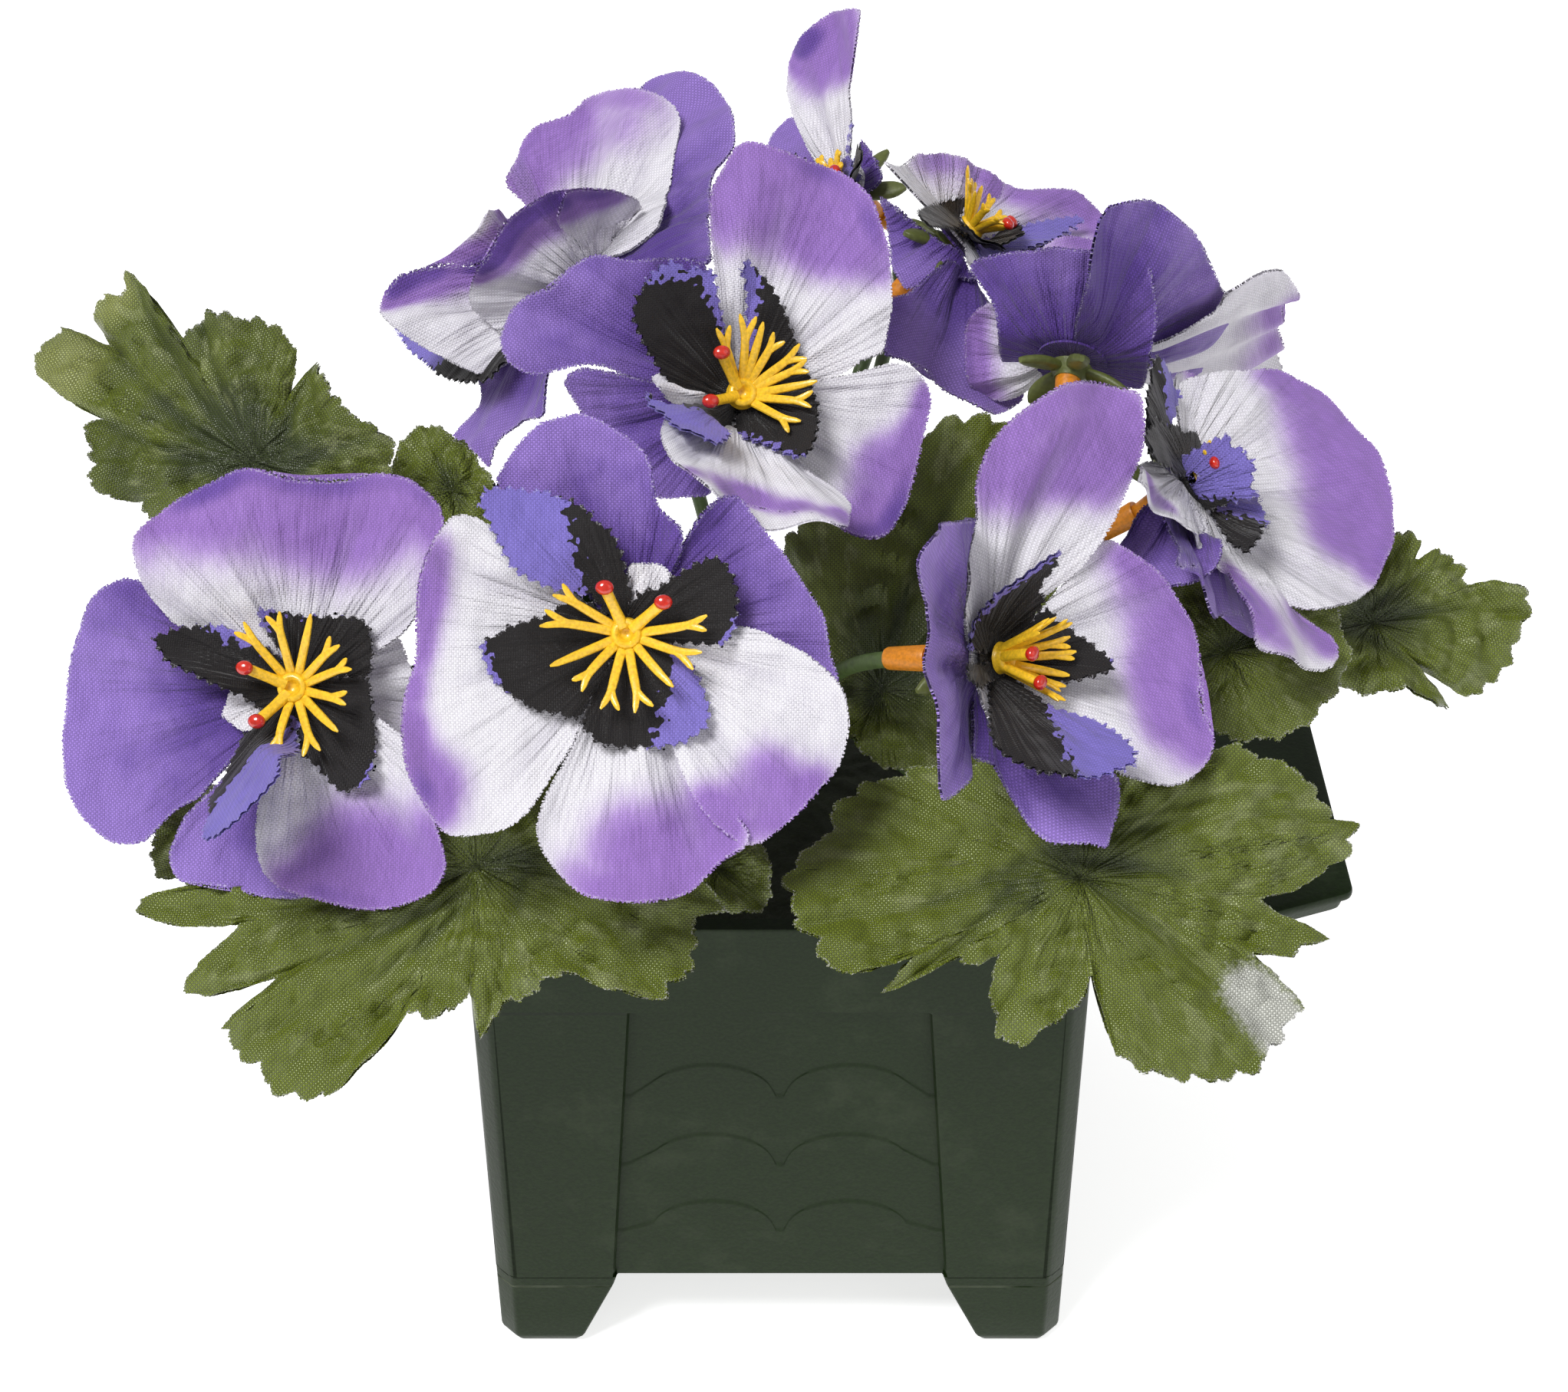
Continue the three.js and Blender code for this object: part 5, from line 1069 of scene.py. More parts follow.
STEM_ROOT = 92
STEM_RING = 4.3
PEG_END = 10.3
STALK_SHARE = 0.3
TRUNK_PROFILE = [(0.1, 40), (5.6, 40), (6, 41), (6, 60), (6, 80), (6, 95.4), (5.6, 96), (0.1, 96)]


def stem_lines():
    """Curves of the nine head stems. They leave the trunk in an even ring in the order in which they
    spread, and meet the peg of their head square on."""
    ends = {}
    for head, place in HEADS.items():
        axes, centre = facing(place)
        ends[head] = (centre - PEG_END * axes[2], axes[2])
    order = sorted(HEADS, key=lambda h: math.atan2(ends[h][0][1], ends[h][0][0]) % (2 * math.pi))
    lines = {}
    for rank, head in enumerate(order):
        end, out = ends[head]
        root = polar(40 * (rank + 0.5), STEM_RING, float(STEM_ROOT))
        first = np.array([root[0] + 0.2 * end[0], root[1] + 0.2 * end[1], root[2] + 25])
        lines[head] = (root, first, end - 18 * out, end)
    return lines


def stalk_line(leaf, stem):
    """Curve of a leaf stalk, from three tenths of the way along a stem to just behind the leaf."""
    axes, centre = facing(leaf)
    start = bezier(*stem, np.array([STALK_SHARE]))[0]
    end = centre - 0.9 * axes[2]
    away = (end - start) * np.array([0.3, 0.3, 0])
    return start, start + away, end - 12 * axes[2], end


# Planter

BOX_HALF = 50.0
FOOT_HALF = 49.25
BOX_HEIGHT = 95.0
FLOOR_LEVEL = 16.0
WALL = 3.0
CORNER_CUT = 3.0
PANEL_TOP = 77.4
LEG_LINE = 14.32
PANEL_DEPTH = 1.8
PANEL_HALF = 24.5
PANEL_FLARE = 4.5
BANDS = (26.8, 42.3, 57.8)
ARCH_RISE = 7.0
ARCH_PLACE = 11.5
ARCH_HALF = 10.5
BAND_STEP = 0.16
BAND_GAP = 0.16
EDGE_ROUND = 0.9
FOOT_WIDTH = 14
LEG_FLARE = 7
LEG_TOP = 16
WING_ROOT = 46.5
WING_ROOT_HALF = 47
WING_REACH = 95
WING_END_HALF = 28
FOAM_HALF = 46.7
FOAM_LOW = 19.35
FOAM_SHOULDER = 87.0
FOAM_TOP = 87.6


def arch_line(x, level):
    """Height of a band's upper edge: two round arches between short flats."""
    centred = np.abs(np.abs(x) - ARCH_PLACE) / ARCH_HALF
    return level + ARCH_RISE * np.maximum(1 - centred**2, 0) ** 0.5


def wall_grid():
    """Outside of the four walls as rows and columns of points. Rows follow the arches of the bands,
    so that their steps are sharp, and columns follow the slanted sides of the panel."""
    inside = np.r_[
        -1, -0.985, -0.95, np.linspace(-22.3, -0.7, 27) / 29, np.linspace(0.7, 22.3, 27) / 29,
        0.95, 0.985, 1,
    ]
    inside = np.insert(inside, len(inside) // 2, 0)
    outside = np.linspace(0, 1, 7)[:-1]
    columns = [("left", s) for s in outside] + [("in", s) for s in inside] + [
        ("right", s) for s in 1 - outside[::-1]]
    kind = np.array([c[0] for c in columns])
    share = np.array([c[1] for c in columns], float)
    edge_mask = (kind == "in").astype(float)
    edge_mask[np.where(kind == "in")[0][[0, -1]]] = 0.0
    levels = [FLOOR_LEVEL, *BANDS, PANEL_TOP, BOX_HEIGHT]
    proud = [3, 2, 1, 0, 4]
    rows, steps = [], []
    for block in range(5):
        for s in (0.0, 0.03, 0.2, 0.4, 0.6, 0.8, 0.97, 1.0):
            rows.append((block, s))
            steps.append(proud[block])
    steps = np.array(steps)
    depth_row = np.where(steps == 4, 0.0, PANEL_DEPTH - BAND_STEP * steps)
    height = np.zeros((len(rows), len(columns)))
    x = np.zeros_like(height)
    panel = PANEL_HALF + 2.0 + height
    for _ in range(4):
        x = np.where(kind == "in", share * panel, 0)
        x = np.where(kind == "left", -(BOX_HALF - CORNER_CUT) * (1 - share) - panel * 1.02 * share, x)
        x = np.where(kind == "right", (BOX_HALF - CORNER_CUT) * share + panel * 1.02 * (1 - share), x)
        for r, (block, s) in enumerate(rows):
            low = levels[block] if block in (0, 4) else arch_line(x[r], levels[block])
            high = levels[block + 1] if block > 2 else arch_line(x[r], levels[block + 1])
            low = low + (0 if block == 0 else BAND_GAP)
            high = high - (0 if block == 4 else BAND_GAP)
            height[r] = low + (high - low) * s
        panel = PANEL_HALF + PANEL_FLARE * (PANEL_TOP - height) / (PANEL_TOP - FLOOR_LEVEL)
        panel = np.where(height > PANEL_TOP, PANEL_HALF, panel)
    depth = depth_row[:, None] * edge_mask[None]
    half = FOOT_HALF + (BOX_HALF - FOOT_HALF) * height / BOX_HEIGHT
    return x, height, half - depth, half


def corner_points(near, half, height):
    """Cut corner with both its edges rounded, at each height."""
    s = np.linspace(0, 1, 4)[None]
    near, half, height = near[:, None], half[:, None], height[:, None]
    r = EDGE_ROUND
    a = [(1 - s) ** 2 * (near - r) + 2 * (1 - s) * s * near + s**2 * (near + 0.7 * r),
         (1 - s) ** 2 * -half + 2 * (1 - s) * s * -half + s**2 * (-half + 0.7 * r)]
    b = [-a[1][:, ::-1], -a[0][:, ::-1]]
    x = np.concatenate([a[0], b[0]], 1)
    y = np.concatenate([a[1], b[1]], 1)
    return np.stack([x, y, height + 0 * x], -1)


def tub_surface():
    """Tub: the four walls and cut corners as closed rings from the middle of the underside, up the
    outside, over the rim, and down the inside to the middle of the floor."""
    x, height, near, half = wall_grid()
    limit = BOX_HALF - CORNER_CUT - EDGE_ROUND
    x = np.clip(x, -limit, limit)
    wall = np.stack([x, -near, height], -1)
    edge = corner_points(half[:, -1] - CORNER_CUT, half[:, -1], height[:, -1])
    side = np.concatenate([wall, edge], 1)
    parts = []
    for quarter in range(4):
        c, s = round(math.cos(quarter * math.pi / 2)), round(math.sin(quarter * math.pi / 2))
        parts.append(np.stack([side[..., 0] * c - side[..., 1] * s, side[..., 0] * s + side[..., 1] * c,
                               side[..., 2]], -1))
    outer = np.concatenate(parts, 1)
    low, top = outer[0].copy(), outer[-1].copy()

    def scaled(ring, share, z):
        return np.stack([ring[:, 0] * share, ring[:, 1] * share, np.full(len(ring), z)], -1)

    inner = 1 - WALL / BOX_HALF
    under = [scaled(low, share, FLOOR_LEVEL) for share in (0.02, 0.5, 0.93, 0.992)]
    rim = [scaled(top, share, BOX_HEIGHT) for share in (0.998, 0.996, inner + 0.004)]
    rim.append(scaled(top, inner, BOX_HEIGHT - 0.2))
    inside = [scaled(top, inner, z) for z in (70.0, 19.2)]
    inside += [scaled(top, share, 19.0) for share in (0.9, 0.02)]
    outer[-1, :, 2] = BOX_HEIGHT - 0.25
    outer[0, :, 2] += 0.25
    return rings(np.stack([*under, *outer, *rim, *inside]))


def rounded_outline(corners, radius, steps=5):
    """Outline of a polygon whose corners are eased by short curves."""
    corners = np.array(corners, float)
    before, after = np.roll(corners, 1, axis=0), np.roll(corners, -1, axis=0)
    start = corners + unit(before - corners) * radius
    end = corners + unit(after - corners) * radius
    s = np.linspace(0, 1, steps)[None, :, None]
    curve = (1 - s) ** 2 * start[:, None] + 2 * (1 - s) * s * corners[:, None] + s**2 * end[:, None]
    return curve.reshape(-1, 2)


def leg_surface(quarter):
    """Leg at a corner: a square post with its outer corner cut, narrower towards the ground, with a
    fine mould line around it."""
    levels = [(0.0, 1.6), (0.15, 1.1), (0.5, 0.6), (1.6, 0.1), (2.2, 0), (8, 0), (14.1, 0), (14.25, 0.13),
              (14.4, 0.13), (14.55, 0), (16.6, 0)]
    turn = quarter * math.pi / 2
    spin = np.array([[math.cos(turn), math.sin(turn)], [-math.sin(turn), math.cos(turn)]])
    ring = []
    for z, inset in levels:
        width = FOOT_WIDTH + LEG_FLARE * min(z, LEG_TOP) / LEG_TOP
        out = FOOT_HALF + (BOX_HALF - FOOT_HALF) * z / BOX_HEIGHT - inset
        far = FOOT_HALF - width + inset
        outline = rounded_outline(
            [(far, -out), (out - CORNER_CUT, -out), (out, -out + CORNER_CUT), (out, -far), (far, -far)], 0.6)
        ring.append(np.column_stack([outline @ spin, np.full(len(outline), z)]))
    return rings(np.stack(ring))


def wing_surface(side):
    """Side plate: a flat trapezium with eased edges and a lip below its rim."""
    ring = []
    for z, inset in ((80.6, 3.2), (80.6, 1.9), (80.9, 1.6), (82.9, 1.1), (83.1, 0.6), (83.5, 0.1),
                     (83.9, 0), (84.5, 0), (84.85, 0.15), (85, 0.5), (85, 2)):
        reach, end_half = side * (WING_REACH - inset), side * (WING_END_HALF - inset * 0.6)
        root, root_half = side * WING_ROOT, side * (WING_ROOT_HALF - inset)
        corners = [(root, -root_half), (reach, -end_half), (reach, end_half), (root, root_half)]
        outline = rounded_outline(corners, 1.6, 6)
        ring.append(np.column_stack([outline, np.full(len(outline), z)]))
    return rings(np.stack(ring))


def foam_surface():
    """Foam block with a crumbly top: a square grid whose height is a sum of sines, between straight
    sides, as closed square rings from the middle of its underside to the middle of its top."""
    sides = 200
    turns = np.arange(sides) * 360 / sides
    square = FOAM_HALF / np.maximum(np.abs(np.cos(np.radians(turns))), np.abs(np.sin(np.radians(turns))))
    rows = [polar(turns, square * share, np.full(sides, FOAM_LOW)) for share in (0.02, 0.98, 1)]
    rows.append(polar(turns, square, np.full(sides, FOAM_SHOULDER)))
    for share in np.linspace(1, 0.02, 40):
        ring = polar(turns, square * share, np.full(sides, FOAM_TOP))
        x, y = ring[:, 0], ring[:, 1]
        ring[:, 2] += 0.35 * np.sin(1.1 * x + np.sin(0.7 * y)) * np.sin(1.3 * y + np.sin(0.9 * x))
        rows.append(ring)
    return rings(np.stack(rows))


# Materials

def colour(red, green, blue):
    """Linear colour from the usual eight-bit one."""
    def linear(value):
        value /= 255
        return value / 12.92 if value <= 0.04045 else ((value + 0.055) / 1.055) ** 2.4
    return (linear(red), linear(green), linear(blue), 1.0)


class Sheet:
    """Node tree with short ways to add a node and to join nodes."""

    def __init__(self, tree):
        self.tree = tree

    def add(self, kind, *inputs, out=0, **settings):
        """Adds a node, sets its fields, and joins or sets its inputs in order."""
        node = self.tree.nodes.new(kind)
        for name, value in settings.items():
            setattr(node, name, value)
        for place, value in enumerate(inputs):
            self.put(node.inputs[place], value)
        return node.outputs[out] if node.outputs else node

    def put(self, socket, value):
        """Joins a socket to an output, or sets it to a value."""
        if isinstance(value, bpy.types.NodeSocket):
            self.tree.links.new(value, socket)
        elif value is not None:
            socket.default_value = value

    def math(self, operation, *inputs):
        """Adds a sum, product or other step on numbers."""
        return self.add("ShaderNodeMath", *inputs, operation=operation)

    def scaled(self, vector, amount):
        """A vector times a number."""
        node = self.tree.nodes.new("ShaderNodeVectorMath")
        node.operation = "SCALE"
        self.put(node.inputs[0], vector)
        self.put(node.inputs["Scale"], amount)
        return node.outputs[0]

    def noise(self, vector, scale, detail=2.0, roughness=0.5):
        """Soft noise between 0 and 1."""
        node = self.tree.nodes.new("ShaderNodeTexNoise")
        self.put(node.inputs["Vector"], vector)
        self.put(node.inputs["Scale"], scale)
        self.put(node.inputs["Detail"], detail)
        self.put(node.inputs["Roughness"], roughness)
        return node.outputs[0]

    def mix(self, share, first, second, blend="MIX"):
        """A share of the second colour over the first."""
        node = self.tree.nodes.new("ShaderNodeMix")
        node.data_type = "RGBA"
        node.blend_type = blend
        self.put(node.inputs[0], share)
        self.put(node.inputs[6], first)
        self.put(node.inputs[7], second)
        return node.outputs[2]

    def ease(self, value, low, high, first=0.0, last=1.0):
        """Eases from first to last as value goes from low to high."""
        node = self.tree.nodes.new("ShaderNodeMapRange")
        node.interpolation_type = "SMOOTHSTEP"
        for place, amount in enumerate((value, low, high, first, last)):
            self.put(node.inputs[place], amount)
        return node.outputs[0]

    def number(self, name):
        """A number that the points of the mesh carry."""
        node = self.tree.nodes.new("ShaderNodeAttribute")
        node.attribute_name = name
        return node.outputs["Fac"]

    def group(self, group, **inputs):
        """Places a shared group and sets its inputs by name."""
        node = self.tree.nodes.new("ShaderNodeGroup")
        node.node_tree = group
        for name, value in inputs.items():
            self.put(node.inputs[name], value)
        return node.outputs


def new_group(name, inputs, outputs):
    """Shader group with named sockets. Returns its sheet, its inputs and its output node."""
    tree = bpy.data.node_groups.new(name, "ShaderNodeTree")
    kinds = {"v": "NodeSocketVector", "f": "NodeSocketFloat", "c": "NodeSocketColor"}
    for label, kind in inputs:
        tree.interface.new_socket(label, in_out="INPUT", socket_type=kinds[kind])
    for label, kind in outputs:
        tree.interface.new_socket(label, in_out="OUTPUT", socket_type=kinds[kind])
    start = tree.nodes.new("NodeGroupInput")
    end = tree.nodes.new("NodeGroupOutput")
    return tree, Sheet(tree), start.outputs, end.inputs


def weave_group():
    """Plain weave. Height is the root of the product of two sines, so each crossing of threads is a
    small cushion, and Over tells which thread lies on top."""
    tree, sheet_, given, result = new_group(
        "plain_weave", [("Place", "v"), ("Pitch", "f")], [("Height", "f"), ("Over", "f"), ("Slub", "f")])
    wander = sheet_.noise(given["Place"], 0.12, 1.0)
    shift = sheet_.scaled(wander, 0.8)
    place = sheet_.add("ShaderNodeVectorMath", given["Place"], shift, operation="ADD")
    apart = sheet_.add("ShaderNodeSeparateXYZ", place).node
    waves = []
    for axis in (0, 1):
        turns = sheet_.math("DIVIDE", apart.outputs[axis], given["Pitch"])
        waves.append(sheet_.math("SINE", sheet_.math("MULTIPLY", turns, math.pi)))
    over = sheet_.math("MULTIPLY", *waves)
    cushion = sheet_.math("POWER", sheet_.math("ABSOLUTE", over), 0.6)
    sheet_.put(result["Height"], sheet_.math("ADD", cushion, sheet_.math("MULTIPLY", over, 0.3)))
    sheet_.put(result["Over"], sheet_.math("MULTIPLY_ADD", over, 0.5, 0.5))
    stretched = sheet_.add("ShaderNodeMapping", given["Place"], None, None, (3.2, 0.25, 1.0))
    sheet_.put(result["Slub"], sheet_.noise(stretched, 1.0, 2.0))
    return tree


SAW_PITCH = 2.0
FRAY_DEPTH = 0.3
PETAL_SPOKES = 11.0
LEAF_SPOKES = 3.5
WORN_SHADE = (0.8, 0.8, 0.76, 1)
# Pale yellow-green of the painted light on a leaf's lit tip
PAINTED_TIP_LIGHT = (0.33, 0.36, 0.1, 1)
# Colour of the painted highlight on the leaves' crumples
PAINTED_CREST_HIGHLIGHT = (0.36, 0.4, 0.17, 1)
# Greyish violet of the painted shade in the petals' pleats
PAINTED_PLEAT_SHADE = (0.33, 0.29, 0.42, 1)
THREAD_SHADE = (0.75, 0.72, 0.8, 1)


def fray_group():
    """Frayed edge. The mask is 1 on the cloth, and 0 where the distance to the edge is less than a
    ragged depth and the depth of a saw-tooth cut."""
    tree, sheet_, given, result = new_group(
        "frayed_edge",
        [("Place", "v"), ("Distance", "f"), ("Rim", "f"), ("Depth", "f"), ("Teeth", "f"), ("Saw", "f")],
        [("Mask", "f")])
    ragged = sheet_.noise(sheet_.scaled(given["Place"], given["Teeth"]), 1.0, 1.0)
    cut = sheet_.ease(ragged, 0.35, 0.65)
    turns = sheet_.math("FRACT", sheet_.math("DIVIDE", given["Rim"], SAW_PITCH))
    tooth = sheet_.math("ABSOLUTE", sheet_.math("MULTIPLY_ADD", turns, 2.0, -1.0))
    limit = sheet_.math("MULTIPLY_ADD", cut, given["Depth"], sheet_.math("MULTIPLY", tooth, given["Saw"]))
    sheet_.put(result["Mask"], sheet_.math("GREATER_THAN", given["Distance"], limit))
    return tree


def grain_group():
    """Moulded plastic: fine grain for the bump, and dusty scuffs as a mask."""
    tree, sheet_, given, result = new_group(
        "moulded_plastic", [("Place", "v"), ("Scale", "f")], [("Height", "f"), ("Scuff", "f")])
    place = sheet_.scaled(given["Place"], given["Scale"])
    fine = sheet_.noise(place, 1.0, 3.0)
    sheet_.put(result["Height"], fine)
    broad = sheet_.noise(place, 0.05, 5.0, 0.65)
    sheet_.put(result["Scuff"], sheet_.ease(broad, 0.5, 0.75))
    return tree


def new_material(name, roughness, **constants):
    """Material with one Principled shader whose plain values are set on its own sockets."""
    material = bpy.data.materials.new(name)
    material.use_nodes = True
    shader = material.node_tree.nodes["Principled BSDF"]
    shader.inputs["Roughness"].default_value = roughness
    for label, value in constants.items():
        shader.inputs[label.replace("_", " ")].default_value = value
    return material, Sheet(material.node_tree), shader


def cloth_place(sheet_):
    """Place on the cloth in millimetres, from the piece's UV map."""
    node = sheet_.tree.nodes.new("ShaderNodeUVMap")
    node.uv_map = "cloth"
    return sheet_.scaled(node.outputs[0], UV_SPAN)


def spoke_place(sheet_, spokes, lengthwise):
    """A place that runs fast around a petal or leaf and slowly along it, so noise there lies in rays."""
    return sheet_.add("ShaderNodeCombineXYZ", *[
        sheet_.math("MULTIPLY", sheet_.number(name), amount)
        for name, amount in (("spoke_x", spokes), ("spoke_y", spokes), ("along", lengthwise))])


def finish_cloth(sheet_, shader, base, weave, depth, place, fray, teeth, saw, wrinkle, painted_thread_shade, spokes):
    """Joins the colour, painted thread shade, the weave's bump, soft creases and the frayed edge to a
    cloth's shader.
    """
    # Painted shade: the colour darkens in the gaps between threads and on every other crossing of threads.
    gap = sheet_.math("SUBTRACT", 1.0, weave["Height"])
    shade = sheet_.math("MULTIPLY_ADD", sheet_.ease(gap, 0.35, 1.0), painted_thread_shade * 0.8,
                        sheet_.math("MULTIPLY", weave["Over"], painted_thread_shade))
    painted_thread_shaded = sheet_.mix(shade, base, (0, 0, 0, 1))
    slub = sheet_.ease(weave["Slub"], 0.35, 0.7, 0.0, 0.16)
    tone = sheet_.mix(slub, painted_thread_shaded, (1, 1, 1, 1), "OVERLAY")
    distance = sheet_.number("edge")
    threads = sheet_.noise(sheet_.scaled(place, 3.0), 1.0, 2.0)
    close = sheet_.ease(distance, fray, fray + 0.4, 0.35, 0.0)
    pale = sheet_.math("MULTIPLY", sheet_.ease(threads, 0.5, 0.6), close)
    sheet_.put(shader.inputs["Base Color"], sheet_.mix(pale, tone, THREAD_SHADE))
    around = spoke_place(sheet_, spokes, 1.3)
    fade = sheet_.ease(sheet_.number("along"), 0.25, 1.1, 1.0, 0.25)
    creases = sheet_.math("ADD", sheet_.math("MULTIPLY", sheet_.noise(around, 1.0, 2.0), fade),
                          sheet_.math("MULTIPLY", sheet_.noise(place, 0.16, 1.0), 0.8))
    soft = sheet_.tree.nodes.new("ShaderNodeBump")
    sheet_.put(soft.inputs["Height"], creases)
    soft.inputs["Distance"].default_value = wrinkle
    bump = sheet_.tree.nodes.new("ShaderNodeBump")
    sheet_.put(bump.inputs["Height"], weave["Height"])
    bump.inputs["Distance"].default_value = depth
    sheet_.put(bump.inputs["Normal"], soft.outputs[0])
    sheet_.put(shader.inputs["Normal"], bump.outputs[0])
    mask = sheet_.group(GROUPS["fray"], Place=place, Distance=distance, Rim=sheet_.number("rim"),
                        Depth=fray, Teeth=teeth, Saw=saw)
    sheet_.put(shader.inputs["Alpha"], mask["Mask"])


GROUPS = {}


def group(name, make):
    """A shared group, built once."""
    if name not in GROUPS:
        GROUPS[name] = make()
    return GROUPS[name]


def shared_groups():
    """The three groups that the materials share."""
    group("weave", weave_group)
    group("fray", fray_group)
    group("grain", grain_group)


def petal_cloth(kind, settings):
    """Fabric of one layer of petals."""
    shared_groups()
    material, sheet_, shader = new_material(
        f"{kind}_fabric", 0.6, Sheen_Weight=0.15, Sheen_Roughness=0.45, Specular_IOR_Level=0.3)
    place = cloth_place(sheet_)
    weave = sheet_.group(GROUPS["weave"], Place=place, Pitch=settings.thread_pitch / MM)
    uneven = sheet_.noise(place, 0.09, 3.0)
    # Painted shade: darker where the pleats fold in.
    shade = sheet_.ease(sheet_.number("fold"), -0.2, -1.3, 0.0, 0.35)
    if kind == "white":
        streaks = sheet_.noise(sheet_.add("ShaderNodeMapping", place, None, None, (1.4, 0.5, 1)), 0.5, 3.0)
        level = sheet_.math("ADD", sheet_.number("stain"),
                            sheet_.math("MULTIPLY_ADD", streaks, 0.24, -0.12))
        level = sheet_.math("ADD", level, sheet_.math("MULTIPLY_ADD", uneven, 0.24, -0.12))
        share = sheet_.math("SUBTRACT", sheet_.ease(level, -0.05, 1.15),
                            sheet_.math("MULTIPLY", weave["Over"], 0.12))
        pale = sheet_.mix(share, tuple(settings.white), tuple(settings.orchid))
        base = sheet_.mix(sheet_.ease(level, 0.85, 1.6, 0, 0.7), pale, tuple(settings.orchid_deep))
        # Painted shade in the pleats of the white petals.
        base = sheet_.mix(sheet_.math("MULTIPLY", shade, 0.7), base, PAINTED_PLEAT_SHADE)
        base = sheet_.mix(sheet_.ease(level, 2.2, 3.8, 0, 0.85), base, tuple(settings.violet_deep))
        teeth, saw, painted_thread_shade = 3.2, 0.0, 0.26
    elif kind == "violet":
        # Painted shade: the violet petals darken towards the hub, under the layers above, with random tone
        # on top.
        level = sheet_.math("ADD", sheet_.number("along"), sheet_.math("MULTIPLY_ADD", uneven, 1.4, -0.7))
        deep = tuple(settings.violet_deep)
        base = sheet_.mix(sheet_.ease(level, 0.05, 0.95), deep, tuple(settings.violet))
        # Painted shade in the pleats of the violet petals.
        base = sheet_.mix(shade, base, deep)
        teeth, saw, painted_thread_shade = 3.2, 0.0, 0.4
    else:
        ragged = sheet_.noise(place, 0.75, 1.0)
        line = sheet_.math("ADD", sheet_.number("lilac"), sheet_.math("MULTIPLY_ADD", ragged, 6.0, -3.0))
        share = sheet_.ease(line, -0.08, 0.08)
        base = sheet_.mix(share, tuple(settings.black), tuple(settings.lilac))
        teeth, saw, painted_thread_shade = 2.4, 0.75, 0.25
    finish_cloth(sheet_, shader, base, weave, settings.weave_depth, place, FRAY_DEPTH, teeth, saw,
                 settings.crease_depth, painted_thread_shade, PETAL_SPOKES)
    return material


def leaf_cloth(settings, greens):
    """Leaf fabric: satin green, darker along the veins, with painted shade, painted light, painted
    highlights and worn places.
    """
    shared_groups()
    material, sheet_, shader = new_material(
        "leaf_fabric", 0.33, Sheen_Weight=0.05, Sheen_Roughness=0.4, Specular_IOR_Level=0.5)
    place = cloth_place(sheet_)
    weave = sheet_.group(GROUPS["weave"], Place=place, Pitch=settings.thread_pitch / MM)
    uneven = sheet_.noise(place, 0.07, 4.0)
    level = sheet_.math("ADD", uneven, sheet_.ease(sheet_.number("vein"), 0.3, 2.5, -0.12, 0.04))
    # Painted shade: the leaves darken towards their middles, under the heads, and by their "shade".
    level = sheet_.math("ADD", level, sheet_.ease(sheet_.number("along"), 0.2, 0.7, -0.16, 0.15))
    level = sheet_.math("SUBTRACT", level, sheet_.number("shade"))
    base = sheet_.mix(sheet_.ease(level, 0.0, 0.6), tuple(greens.leaf_deep), tuple(greens.leaf))
    patch = sheet_.math("ADD", sheet_.number("worn"), sheet_.math(
        "MULTIPLY_ADD", sheet_.noise(place, 1.2, 3.0), 0.9, -0.45))
    # Painted light: pale yellow-green where a leaf's tip is brightly lit.
    base = sheet_.mix(sheet_.ease(sheet_.number("pale"), 0.25, 0.9, 0.0, 0.75), base, PAINTED_TIP_LIGHT)
    # Painted highlight: paler streaks along the radial crumples, standing in for the sheen on their crests.
    painted_highlight = sheet_.noise(spoke_place(sheet_, 9.0, 6.0), 1.0, 3.0)
    painted_highlight = sheet_.math("MULTIPLY", sheet_.ease(painted_highlight, 0.52, 0.7, 0.0, 0.45),
                        sheet_.ease(sheet_.number("along"), 0.15, 0.5))
    base = sheet_.mix(painted_highlight, base, PAINTED_CREST_HIGHLIGHT)
    base = sheet_.mix(sheet_.ease(patch, 0.35, 1.0, 0.0, 0.8), base, WORN_SHADE)
    # 0.55 is the strength of the painted shade between the threads.
    finish_cloth(sheet_, shader, base, weave, settings.weave_depth * 1.2, place, FRAY_DEPTH, 2.6, 0.0,
                 greens.crease_depth, 0.55, LEAF_SPOKES)
    return material


def plastic(name, shade, roughness, scale, depth, dust=None, dusty=0.0, **constants):
    """Moulded plastic of one colour, with fine grain, uneven gloss and a little dust."""
    shared_groups()
    material, sheet_, shader = new_material(name, roughness, **constants)
    node = sheet_.tree.nodes.new("ShaderNodeTexCoord")
    place = sheet_.scaled(node.outputs["Object"], 1000.0)
    grain = sheet_.group(GROUPS["grain"], Place=place, Scale=scale)
    deep = tuple(c * 0.72 for c in shade[:3]) + (1,)
    tone = sheet_.mix(sheet_.ease(grain["Height"], 0.3, 0.7), deep, shade)
    if dust:
        tone = sheet_.mix(sheet_.math("MULTIPLY", grain["Scuff"], dusty), tone, dust)
    sheet_.put(shader.inputs["Base Color"], tone)
    sheet_.put(shader.inputs["Roughness"],
               sheet_.math("MULTIPLY_ADD", grain["Scuff"], 0.18, roughness))
    bump = sheet_.tree.nodes.new("ShaderNodeBump")
    sheet_.put(bump.inputs["Height"], grain["Height"])
    bump.inputs["Distance"].default_value = depth
    sheet_.put(shader.inputs["Normal"], bump.outputs[0])
    return material


